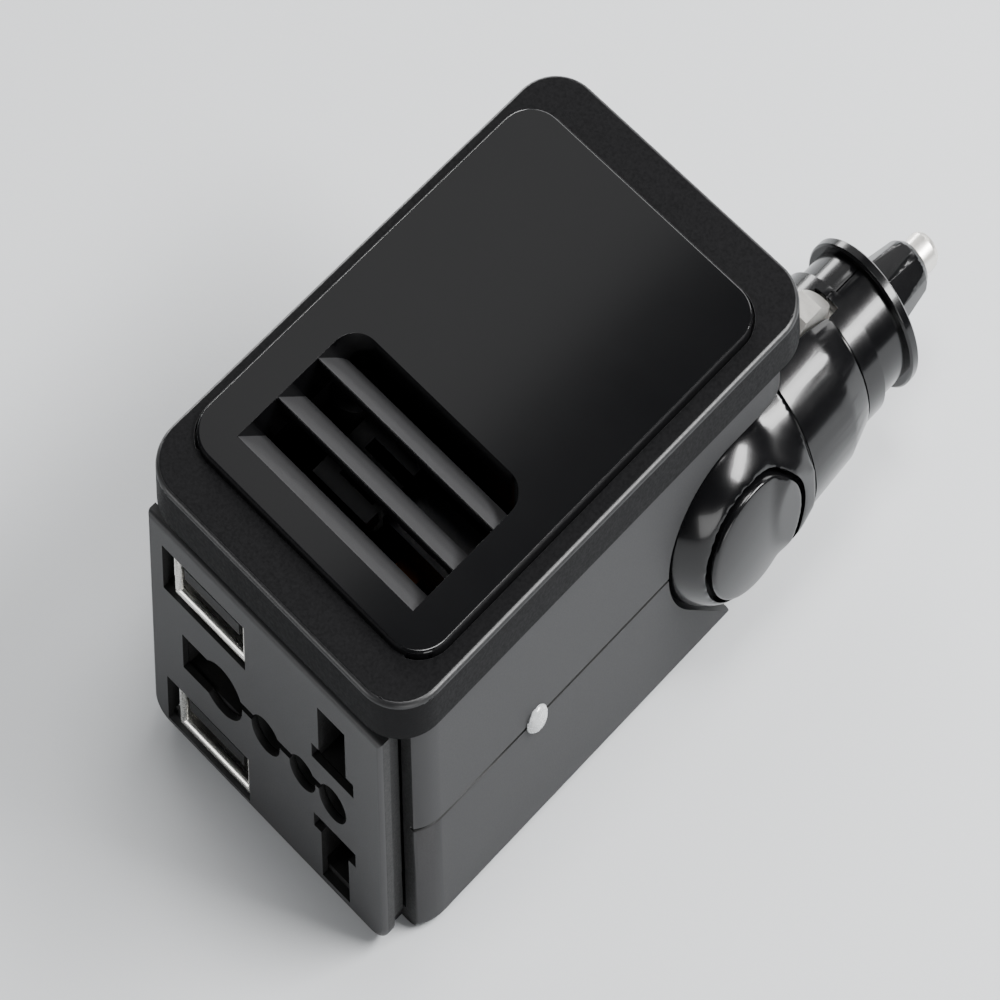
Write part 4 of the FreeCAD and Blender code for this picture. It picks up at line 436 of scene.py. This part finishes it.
# %% Modelling helpers
def block(name, low, high):
    """A cube between two corners in mm, with its place in its mesh."""
    bpy.ops.object.select_all(action="DESELECT")
    centre = [(a + b) / 2 * MM for a, b in zip(low, high)]
    size = [(b - a) * MM for a, b in zip(low, high)]
    bpy.ops.mesh.primitive_cube_add(size=1.0, location=centre, scale=size)
    item = bpy.context.object
    item.name = name
    bpy.ops.object.transform_apply(location=True, rotation=True, scale=True)
    return item


def pick(item, kind, test):
    """Goes into edit mode and selects the edges or faces whose corners, in mm, pass a test."""
    only(item)
    bpy.ops.object.mode_set(mode="EDIT")
    bpy.ops.mesh.select_mode(type=kind)
    bpy.ops.mesh.select_all(action="DESELECT")
    shape = bmesh.from_edit_mesh(item.data)
    for part in (shape.edges if kind == "EDGE" else shape.faces):
        if test([corner.co / MM for corner in part.verts]):
            part.select_set(True)
    bmesh.update_edit_mesh(item.data)


def round_off(item, radius, steps, test):
    """Rounds the edges that pass a test with a radius in mm."""
    pick(item, "EDGE", test)
    bpy.ops.mesh.bevel(offset=radius * MM, segments=steps, profile=0.5, affect="EDGES", clamp_overlap=False)
    bpy.ops.object.mode_set(mode="OBJECT")


def combine(item, tool, how):
    """Joins or cuts with a Boolean modifier, applies it and removes the tool."""
    step = item.modifiers.new("step", "BOOLEAN")
    step.operation, step.object, step.solver = how, tool, "EXACT"
    only(item)
    bpy.ops.object.modifier_apply(modifier=step.name)
    bpy.data.objects.remove(tool)


def upright(corners):
    """True for an edge along Z."""
    a, b = corners
    return (a - b).xy.length < 0.01


# %% [markdown]
# ## Parting line and shadow gaps
# Where two mouldings meet, the maker leaves a fine groove, because a groove hides a small mismatch. It reads as a
# dark line round the housing, and a wider one stands behind the socket panel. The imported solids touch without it.
# Each groove is a real cut here: a thin block, or a block with its middle taken out, subtracted from both pieces.

# %% Parting line round the housing
def frame_block(name, low, high, inset, radius):
    """A frame: a block with a smaller block, rounded along its upright edges, taken out of it."""
    outer = block(name, (low[0] - 1, low[1] - 1, low[2]), (high[0] + 1, high[1] + 1, high[2]))
    inner = block(
        "inner", (low[0] + inset, low[1] + inset, low[2] - 1),
        (high[0] - inset, high[1] - inset, high[2] + 1))
    round_off(inner, radius - inset, 10, upright)
    combine(outer, inner, "DIFFERENCE")
    return outer


HOUSING = ((-24.8, -39.5), (24.8, 39.75))
CORNER = 6.5
SPLIT, GROOVE, GROOVE_DEPTH = 18.2, 0.25, 0.5
for node in ("lower_shell", "upper_shell"):
    groove = frame_block(
        "groove", (*HOUSING[0], SPLIT - GROOVE), (*HOUSING[1], SPLIT + GROOVE), GROOVE_DEPTH, CORNER)
    combine(soft[node], groove, "DIFFERENCE")
print("groove", 2 * GROOVE, "mm wide,", GROOVE_DEPTH, "mm deep")

# %% Shadow gap behind the socket panel
# The housing steps in over its first 2.4 mm, so the panel seems to float in front of it: deep on the right, where the
# gap reads black, and shallow on the left, where the USB shells stand close behind the wall.
NECK = {-1: 24.0, 1: 20.4}
GAP_FRONT, GAP_BACK, GAP_OUTSIDE = -41.0, -37.1, 26.0
for node, low, high in (("lower_shell", -1.0, SPLIT + 0.01), ("upper_shell", SPLIT - 0.01, 40.0)):
    for side in (-1, 1):
        spans = sorted((side * NECK[side], side * GAP_OUTSIDE))
        combine(soft[node], block("gap", (spans[0], GAP_FRONT, low), (spans[1], GAP_BACK, high)), "DIFFERENCE")

# %% [markdown]
# ## Two small corrections at the socket end
# On the real object no light comes through the panel's lower corner, and a dark line parts the panel from the lid.
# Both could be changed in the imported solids, but they are too fine to matter there. So a small block closes the
# corner, and a few vertices of the lid and the panel are moved apart.

# %% Closed corner under the lower USB opening
# The opening comes close to the panel's lower left corner, where one could look through to the floor.
SILL = ((-23.0, -40.6, 0.35), (-19.6, -39.55, 1.0))
combine(soft["socket_panel"], block("sill", *SILL), "UNION")

# %% Lid and panel drawn apart
# The lid's front stands 0.4 mm further back and the panel's top edge 0.9 mm lower, which opens a dark line between.
MOVES = (
    ("top_cover", lambda corner: corner.y < -35, (0, 0.4, 0)),
    ("socket_panel", lambda corner: corner.z > 36.9, (0, 0, -0.9)),
)
for node, limit, move in MOVES:
    pick(soft[node], "FACE", lambda corners: False)
    bpy.ops.mesh.select_mode(type="VERT")
    shape = bmesh.from_edit_mesh(soft[node].data)
    for corner in shape.verts:
        corner.select_set(limit(corner.co / MM))
    bmesh.update_edit_mesh(soft[node].data)
    bpy.ops.transform.translate(value=[distance * MM for distance in move])
    bpy.ops.object.mode_set(mode="OBJECT")

# %% [markdown]
# ## The plug's seam
# The plug is moulded in two halves that meet in a fine line along its top and underside. A drawn line would look
# painted on, so a thin block is subtracted from each half. The sleeve has two widths, so each side takes two cuts.

# %% Seam between the plug's halves
SEAM_SIDES = (18.08, 18.32)
SEAM_CUTS = ((37.2, 54.3, 9.8, 13.4), (54.0, 59.9, 8.7, 10.4))


def cut_seam(item):
    """Cuts the seam: each cut has its span along Y and its span away from the plug's middle, in mm."""
    for low, high, near, far in SEAM_CUTS:
        for side in (-1, 1):
            spans = sorted((SPLIT + side * near, SPLIT + side * far))
            combine(
                item, block("seam", (SEAM_SIDES[0], low, spans[0]), (SEAM_SIDES[1], high, spans[1])), "DIFFERENCE")


cut_seam(soft["plug_half_left"])
for node, item in soft.items():
    finished(item if node.startswith("plug") else shaded(item), node, BODY_OF[node])

# %% [markdown]
# ## Second finishes
# Narrow deep spaces swallow the light, so black is painted into them as shade. The lid's edges are rubbed smooth,
# and a lighter colour paints a highlight along them. Both could be separate pieces, but on the real object they are
# the same moulding. So the faces are found by their place and get a second material.

# %% Painted shade in openings and gaps, painted highlight on the lid's edges
PANEL_BACK = -40.25


def second_finish(item, name, wanted):
    """Gives the faces that wanted(centre in mm, normal) finds another finish."""
    item.data.materials.append(finishes[name])
    slot = len(item.data.materials) - 1
    found = [face for face in item.data.polygons if wanted(face.center / MM, face.normal)]
    for face in found:
        face.material_index = slot
    print(item.name, name, len(found), "faces")


def in_opening(place, normal):
    """True for the walls of the panel's openings and for everything behind its front."""
    return (abs(normal.y) < 0.3 and abs(place.x) < 22.5 and 1.5 < place.z < 35.5) or place.y > PANEL_BACK


def in_gap(place, normal):
    """True for the walls of the shadow gap and of the groove."""
    return place.y < GAP_BACK + 0.05 or abs(place.z - SPLIT) < GROOVE + 0.02


# Painted shade: the black on these faces stands for the shade in the openings, the shadow gap and the groove.
second_finish(soft["socket_panel"], "black_nylon_and_painted_shade", in_opening)
for node in ("lower_shell", "upper_shell"):
    second_finish(soft[node], "black_nylon_and_painted_shade", in_gap)
# Painted highlight: the lid's sloped edge faces get the lighter colour.
second_finish(soft["top_cover"], "rubbed_abs_painted_highlight", lambda place, normal: 0.2 < normal.z < 0.96)

# %% [markdown]
# ## The louvred vent panel
# This polished panel is the show piece of the lid. Air leaves the box through a well with three blades that slope
# down to the rear, so that nobody can drop a coin on the live board. The well has a sharp front and round rear
# corners. It could be sculpted from one grid, but the real mould was cut from a block with round cutters, and the
# same order works here: a plate, a well under it, one opening through both, and three blades set into it.

# %% Plate, well and opening
PANEL_LOW, PANEL_TOP = 44.1, 46.0
PANEL = ((-24.55, -35.2), (23.4, 35.2))
PANEL_CORNER, PANEL_RIM, CRISP_RIM = 5.5, 0.45, 0.12
OPENING = ((-18.15, -30.2), (17.1, -7.0))
WELL_WALL, WELL_CORNER = 1.2, 4.0
BLADE_DROP, BLADE_RUN, BLADE_THICK, BLADE_PITCH, BLADE_NOSE = 4.9, 5.4, 1.6, 7.9, 0.35
well_low = PANEL_TOP - BLADE_DROP - BLADE_THICK


def rear_corner(corners):
    """True for an upright edge in the rear half of the well."""
    return upright(corners) and corners[0].y > -20


panel = block("vent_panel_louvred", (*PANEL[0], PANEL_LOW), (*PANEL[1], PANEL_TOP))
round_off(panel, PANEL_CORNER, 14, upright)
round_off(panel, PANEL_RIM, 4, lambda corners: all(abs(corner.z - PANEL_TOP) < 0.01 for corner in corners))
well = block(
    "well", (OPENING[0][0] - WELL_WALL, OPENING[0][1] - WELL_WALL, well_low),
    (OPENING[1][0] + WELL_WALL, OPENING[1][1] + WELL_WALL, PANEL_LOW + 0.5))
round_off(well, WELL_CORNER + WELL_WALL, 12, rear_corner)
combine(panel, well, "UNION")
opening = block("opening", (*OPENING[0], well_low - 2), (*OPENING[1], PANEL_TOP + 2))
round_off(opening, WELL_CORNER, 12, rear_corner)
combine(panel, opening, "DIFFERENCE")
print("plate with its well:", len(panel.data.polygons), "faces")

# %% Three blades
# Each blade is a thin block whose rear face is slid down, and its nose gets a small radius.
for number in range(3):
    front = OPENING[0][1] + number * BLADE_PITCH
    blade = block(
        f"blade_{number}", (OPENING[0][0] - 0.6, front, PANEL_TOP - BLADE_THICK),
        (OPENING[1][0] + 0.6, front + BLADE_RUN, PANEL_TOP))
    pick(blade, "FACE", lambda corners: all(corner.y > front + 1 for corner in corners))
    bpy.ops.transform.translate(value=(0, 0, -BLADE_DROP * MM))
    bpy.ops.object.mode_set(mode="OBJECT")
    round_off(blade, BLADE_NOSE, 3, lambda corners: all(
        abs(corner.y - front) < 0.01 and abs(corner.z - PANEL_TOP) < 0.01 for corner in corners))
    combine(panel, blade, "UNION")
crisp = panel.modifiers.new("crisp rims", "BEVEL")
crisp.width, crisp.segments = CRISP_RIM * MM, 2
crisp.limit_method, crisp.angle_limit = "ANGLE", math.radians(40)
only(panel)
bpy.ops.object.modifier_apply(modifier=crisp.name)
finished(shaded(panel), "vent_panel", "case")

# %% Satin and painted light on the blades, grain on the rim
# The blades' faces are found by their slope. The panel's outer rim is as dull as the lid that it sits in.
tilt = math.atan2(BLADE_DROP, BLADE_RUN)
slope = Vector((0, math.sin(tilt), math.cos(tilt)))


def on_blade(place, normal):
    """True for a face inside the opening that lies about as steep as the blades."""
    return (
        normal.angle(slope) < math.radians(40) and place.z < PANEL_TOP - 0.05
        and OPENING[0][0] < place.x < OPENING[1][0] and OPENING[0][1] - 0.1 < place.y < OPENING[1][1])


def on_rim(place, normal):
    """True for a side or edge face near the panel's outline or at one of its corners."""
    from_side = min(PANEL[1][0] - place.x, place.x - PANEL[0][0])
    from_end = PANEL[1][1] - abs(place.y)
    beside = place.x > 22.8 or place.x < -24.0 or abs(place.y) > 34.6
    return normal.z < 0.97 and (beside or from_side + from_end < 3.4)


# The blades' paler colour is painted light.
second_finish(panel, "satin_louvres_painted_light", on_blade)
second_finish(panel, "grained_abs", on_rim)

# %% [markdown]
# ## The flowing side of the plug
# The plug's near side is a dome that runs into a round sleeve, with a round cap let into the dome. On the real part
# the two shapes flow into each other, because the mould maker polished the corner between them away. The packed
# solids keep a crease there, and a mirror-black surface shows every crease. We do what the polisher does: the part
# up to the seam is remeshed into small even squares and its outer skin is relaxed, while its seams and rims are held.

# %% Relaxing a polished surface
PIVOT = Vector((18.2, 25.4, 18.2))
DOME_CENTRE = Vector((13.3, PIVOT.y, PIVOT.z))
RING_SEAM = 37.0
CAP_RADIUS, RECESS_RADIUS, BAR_END = 8.7, 9.45, 34.0
SLEEVE_SKIN, DOME_SKIN, PARTING, RECESS_RIM = (10.9, 11.3), (16.2, 16.6), (18.6, 19.8), (9.3, 9.9)
SWELL, SWELL_FADE, SWELL_START, PLUG_OUTSIDE = 1.5, 3.6, (22.0, 25.0), 30.6
HUB_VOXEL, CAP_VOXEL, PASSES = 0.25, 0.2, 60


def trimmed(item, place, keep_low):
    """Cuts an object at a height along Y in mm, keeps one side and closes the cut."""
    only(item)
    bpy.ops.object.mode_set(mode="EDIT")
    bpy.ops.mesh.select_all(action="SELECT")
    bpy.ops.mesh.bisect(
        plane_co=(0, place * MM, 0), plane_no=(0, 1, 0), use_fill=True,
        clear_outer=keep_low, clear_inner=not keep_low)
    bpy.ops.object.mode_set(mode="OBJECT")


def relaxed(item, voxel, share):
    """Remeshes an object and smooths it; share gives each point, in mm, how far it may move from 0 to 1."""
    remesh = item.modifiers.new("even squares", "REMESH")
    remesh.mode, remesh.voxel_size = "VOXEL", voxel * MM
    only(item)
    bpy.ops.object.modifier_apply(modifier=remesh.name)
    group = item.vertex_groups.new(name="polished")
    for point in item.data.vertices:
        group.add([point.index], share(point.co / MM), "REPLACE")
    smooth = item.modifiers.new("polish", "SMOOTH")
    smooth.factor, smooth.iterations, smooth.vertex_group = 0.5, PASSES, group.name
    bpy.ops.object.modifier_apply(modifier=smooth.name)
    item.vertex_groups.clear()
    bpy.ops.object.shade_smooth_by_angle(angle=math.radians(40))


def ramp(value, low, high):
    """0 below low, 1 above high, and straight between them."""
    return min(1.0, max(0.0, (value - low) / (high - low)))


def from_pivot(point):
    """Distance from the pivot's axis, which runs along X."""
    return Vector((point.y - PIVOT.y, point.z - PIVOT.z)).length


def skin_share(point):
    """Free on the outer skin between the parting plane and the ring seam, and nearly held at the cap's rim."""
    from_axis = Vector((point.x - PIVOT.x, point.z - PIVOT.z)).length
    outer = max(ramp(from_axis, *SLEEVE_SKIN), ramp((point - DOME_CENTRE).length, *DOME_SKIN))
    return outer * ramp(point.x, *PARTING) * ramp(RING_SEAM - point.y, 0.5, 1.5) * (
        0.15 + 0.85 * ramp(from_pivot(point), *RECESS_RIM))


def cap_share(point):
    """Free over the cap's face, a quarter free at its rim and held at its stem."""
    return ramp(point.x, 24.2, 25.2) * (0.25 + 0.75 * ramp(8.5 - from_pivot(point), 0.0, 0.8))


def fuller(item):
    """Swells the dome's shoulder round the pivot and keeps it inside the sleeve's own width."""
    for corner in item.data.vertices:
        point = corner.co / MM
        away = from_pivot(point)
        if point.x > SWELL_START[0] and away < CAP_RADIUS + SWELL_FADE:
            if away < CAP_RADIUS:
                share = (away / CAP_RADIUS) ** 2
            else:
                share = max(0.0, 1 - ((away - CAP_RADIUS) / SWELL_FADE) ** 2)
            swollen = point.x + SWELL * share * ramp(point.x, *SWELL_START)
            corner.co.x = max(point.x, min(PLUG_OUTSIDE, swollen)) * MM


def turned_bar(name, radius, low, high):
    """A round bar along X through the pivot: it cuts the ragged rims of the remeshed skin clean."""
    bpy.ops.object.select_all(action="DESELECT")
    bpy.ops.mesh.primitive_cylinder_add(
        vertices=128, radius=radius * MM, depth=(high - low) * MM,
        location=((low + high) / 2 * MM, PIVOT.y * MM, PIVOT.z * MM), rotation=(0, math.pi / 2, 0))
    bar = bpy.context.object
    bar.name = name
    bpy.ops.object.transform_apply(location=True, rotation=True, scale=True)
    return bar


# %% Near half of the plug
near_half = softened("plug_half_right", 0.1)
cut_seam(near_half)
hub = bpy.data.objects.new("hub", near_half.data.copy())
bpy.context.scene.collection.objects.link(hub)
trimmed(near_half, RING_SEAM, keep_low=False)
trimmed(hub, RING_SEAM, keep_low=True)
relaxed(hub, HUB_VOXEL, skin_share)
fuller(hub)
relaxed(hub, HUB_VOXEL, skin_share)
combine(hub, turned_bar("recess", RECESS_RADIUS, 26.0, BAR_END), "DIFFERENCE")
bpy.ops.object.shade_smooth_by_angle(angle=math.radians(40))
only(near_half)
hub.select_set(True)
bpy.ops.object.join()
finished(near_half, "plug_half_right", "plug")

# %% Pivot cap
cap = softened("pivot_cap", 0.2)
relaxed(cap, CAP_VOXEL, cap_share)
fuller(cap)
relaxed(cap, CAP_VOXEL, cap_share)
combine(cap, turned_bar("rim", CAP_RADIUS, 0.0, BAR_END), "INTERSECT")
bpy.ops.object.shade_smooth_by_angle(angle=math.radians(40))
finished(cap, "pivot_cap", "plug")

# %% [markdown]
# ## USB sockets
# A USB socket's shell is a folded tube of thin plated sheet whose mouth is turned outwards on all four sides, so that
# the plug finds its way in. The lower lip is the brightest thing on the whole end face. We start from a block, sink
# its front face to make the tube, then push the rim forward and outward in five steps, through 75 degrees.

# %% Shells with turned lips
LIP, LIP_STEPS, LIP_TURN = 0.9, 5, math.radians(75)
SHEET = 0.3
WINDOW_SIDE, WINDOW_HALF, WINDOW_SPAN, WINDOW_DEPTH = 3.1, 1.0, (1.9, 6.4), 0.8
for node in ("usb_shell_upper", "usb_shell_lower"):
    low, high = (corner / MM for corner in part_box(node))
    middle = (low + high) / 2
    mouth = low.y + LIP
    tube = block(f"{node}_lipped", (low.x, mouth, low.z), tuple(high))
    pick(tube, "FACE", lambda corners: all(abs(corner.y - mouth) < 0.01 for corner in corners))
    bpy.ops.mesh.inset(thickness=SHEET * MM)
    bpy.ops.mesh.extrude_region_move(TRANSFORM_OT_translate={"value": (0, (high.y - mouth - SHEET) * MM, 0)})
    bpy.ops.object.mode_set(mode="OBJECT")
    half = Vector(((high.x - low.x) / 2, 0, (high.z - low.z) / 2))
    reach = 0.0
    for step in range(1, LIP_STEPS + 1):
        turn = step / LIP_STEPS * LIP_TURN
        ahead, out = LIP * math.sin(turn), LIP * (1 - math.cos(turn))
        pick(tube, "FACE", lambda corners: all(abs(corner.y - mouth + reach) < 0.01 for corner in corners))
        bpy.ops.mesh.extrude_region_move(TRANSFORM_OT_translate={"value": (0, (reach - ahead) * MM, 0)})
        last = LIP * (1 - math.cos((step - 1) / LIP_STEPS * LIP_TURN))
        bpy.ops.transform.resize(
            value=((half.x + out) / (half.x + last), 1, (half.z + out) / (half.z + last)),
            center_override=(middle.x * MM, 0, middle.z * MM))
        bpy.ops.object.mode_set(mode="OBJECT")
        reach = ahead
    bevel = tube.modifiers.new("folded corners", "BEVEL")
    bevel.width, bevel.segments, bevel.limit_method = 0.06 * MM, 2, "ANGLE"
    bevel.angle_limit = math.radians(40)
    only(tube)
    bpy.ops.object.modifier_apply(modifier=bevel.name)
    for side in (-WINDOW_SIDE, WINDOW_SIDE):
        window = block(
            "window", (middle.x + side - WINDOW_HALF, low.y + WINDOW_SPAN[0], low.z - 1),
            (middle.x + side + WINDOW_HALF, low.y + WINDOW_SPAN[1], low.z + WINDOW_DEPTH))
        combine(tube, window, "DIFFERENCE")
    finished(shaded(tube, 40), node, "case")

# %% [markdown]
# ## Status light
# The light's dome stands on a short collar outside the wall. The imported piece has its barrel, flange and legs. We
# keep them, and add a fuller dome, which starts as a sphere, is flattened and cut level with the wall.

# %% Status light with a fuller dome
LIGHT = Vector((24.7, -14.4, 18.2))
LIGHT_RADIUS, FLATNESS, WALL = 2.0, 0.62, 24.82
light = softened("status_led", 0.05)
bpy.ops.object.select_all(action="DESELECT")
bpy.ops.mesh.primitive_uv_sphere_add(
    segments=32, ring_count=16, radius=LIGHT_RADIUS * MM, location=LIGHT * MM, scale=(FLATNESS, 1, 1))
dome = bpy.context.object
bpy.ops.object.transform_apply(location=True, rotation=True, scale=True)
only(dome)
bpy.ops.object.mode_set(mode="EDIT")
bpy.ops.mesh.select_all(action="SELECT")
bpy.ops.mesh.bisect(plane_co=(WALL * MM, 0, 0), plane_no=(1, 0, 0), use_fill=True, clear_inner=True)
bpy.ops.object.mode_set(mode="OBJECT")
combine(light, dome, "UNION")
finished(shaded(light, 40), "status_led", "case")

# %% [markdown]
# ## Floor and light
# The box stands on a plain pale floor under soft studio light. A black, shiny object shows little of its own colour:
# what the eye reads as its shape is the reflection of the lamps. So the main softboxes are placed where a surface
# mirrors them towards the camera. A long one behind and to the right draws the white strips along the plug. A small,
# dim box hangs over the rear left corner: the polished panel mirrors it and turns black where it ends. One hangs
# overhead, a little to the rear, where the blades face. Four large ones stand behind, left, front left and right. The
# floor itself is what the sides mirror, which gives them their even grey.

# %% Pale floor
bpy.ops.object.select_all(action="DESELECT")
bpy.ops.mesh.primitive_plane_add(size=6.0, location=(0, 0, -0.0002))
floor = bpy.context.object
floor.name = "floor"
bpy.ops.object.transform_apply(location=True, rotation=True, scale=True)
material, tree, shader = new_finish("pale_paper", "#d2d4d6", 0.8)
grain(tree, shader, 1.5, (0.75, 0.9), 0.02)
floor.data.materials.append(material)
print("floor", round(floor.dimensions.x, 2), "m wide")


# %% Softboxes
def softbox(name, place, size, power, aim=(0, 10, 25)):
    """A rectangular studio lamp at a place in mm that points at the object."""
    lamp = bpy.data.lights.new(name, "AREA")
    lamp.shape, lamp.size, lamp.size_y, lamp.energy = "RECTANGLE", size[0] * MM, size[1] * MM, power
    item = bpy.data.objects.new(name, lamp)
    item.location = Vector(place) * MM
    away = (Vector(place) - Vector(aim)).normalized()
    item.rotation_mode = "QUATERNION"
    item.rotation_quaternion = away.to_track_quat("Z", "Y")
    bpy.context.scene.collection.objects.link(item)


softbox("key_over_plug", (350, 305, 450), (420, 150), 8.6)
softbox("overhead", (40, 120, 760), (300, 300), 4.0)
softbox("dim_over_panel", (-117, 125, 165), (117, 220), 0.0534, (-117, 125, 0))
softbox("low_rear", (-300, 820, 400), (700, 260), 3.0)
softbox("rim_left", (-820, 420, 240), (500, 160), 5.0)
softbox("front_left", (-450, -800, 400), (500, 300), 3.0)
softbox("side_right", (800, -480, 260), (600, 400), 3.5)
world = bpy.data.worlds.new("studio")
bpy.context.scene.world = world
world.use_nodes = True
world.node_tree.nodes["Background"].inputs["Color"].default_value = linear("#c6ccd4")
world.node_tree.nodes["Background"].inputs["Strength"].default_value = 0.08
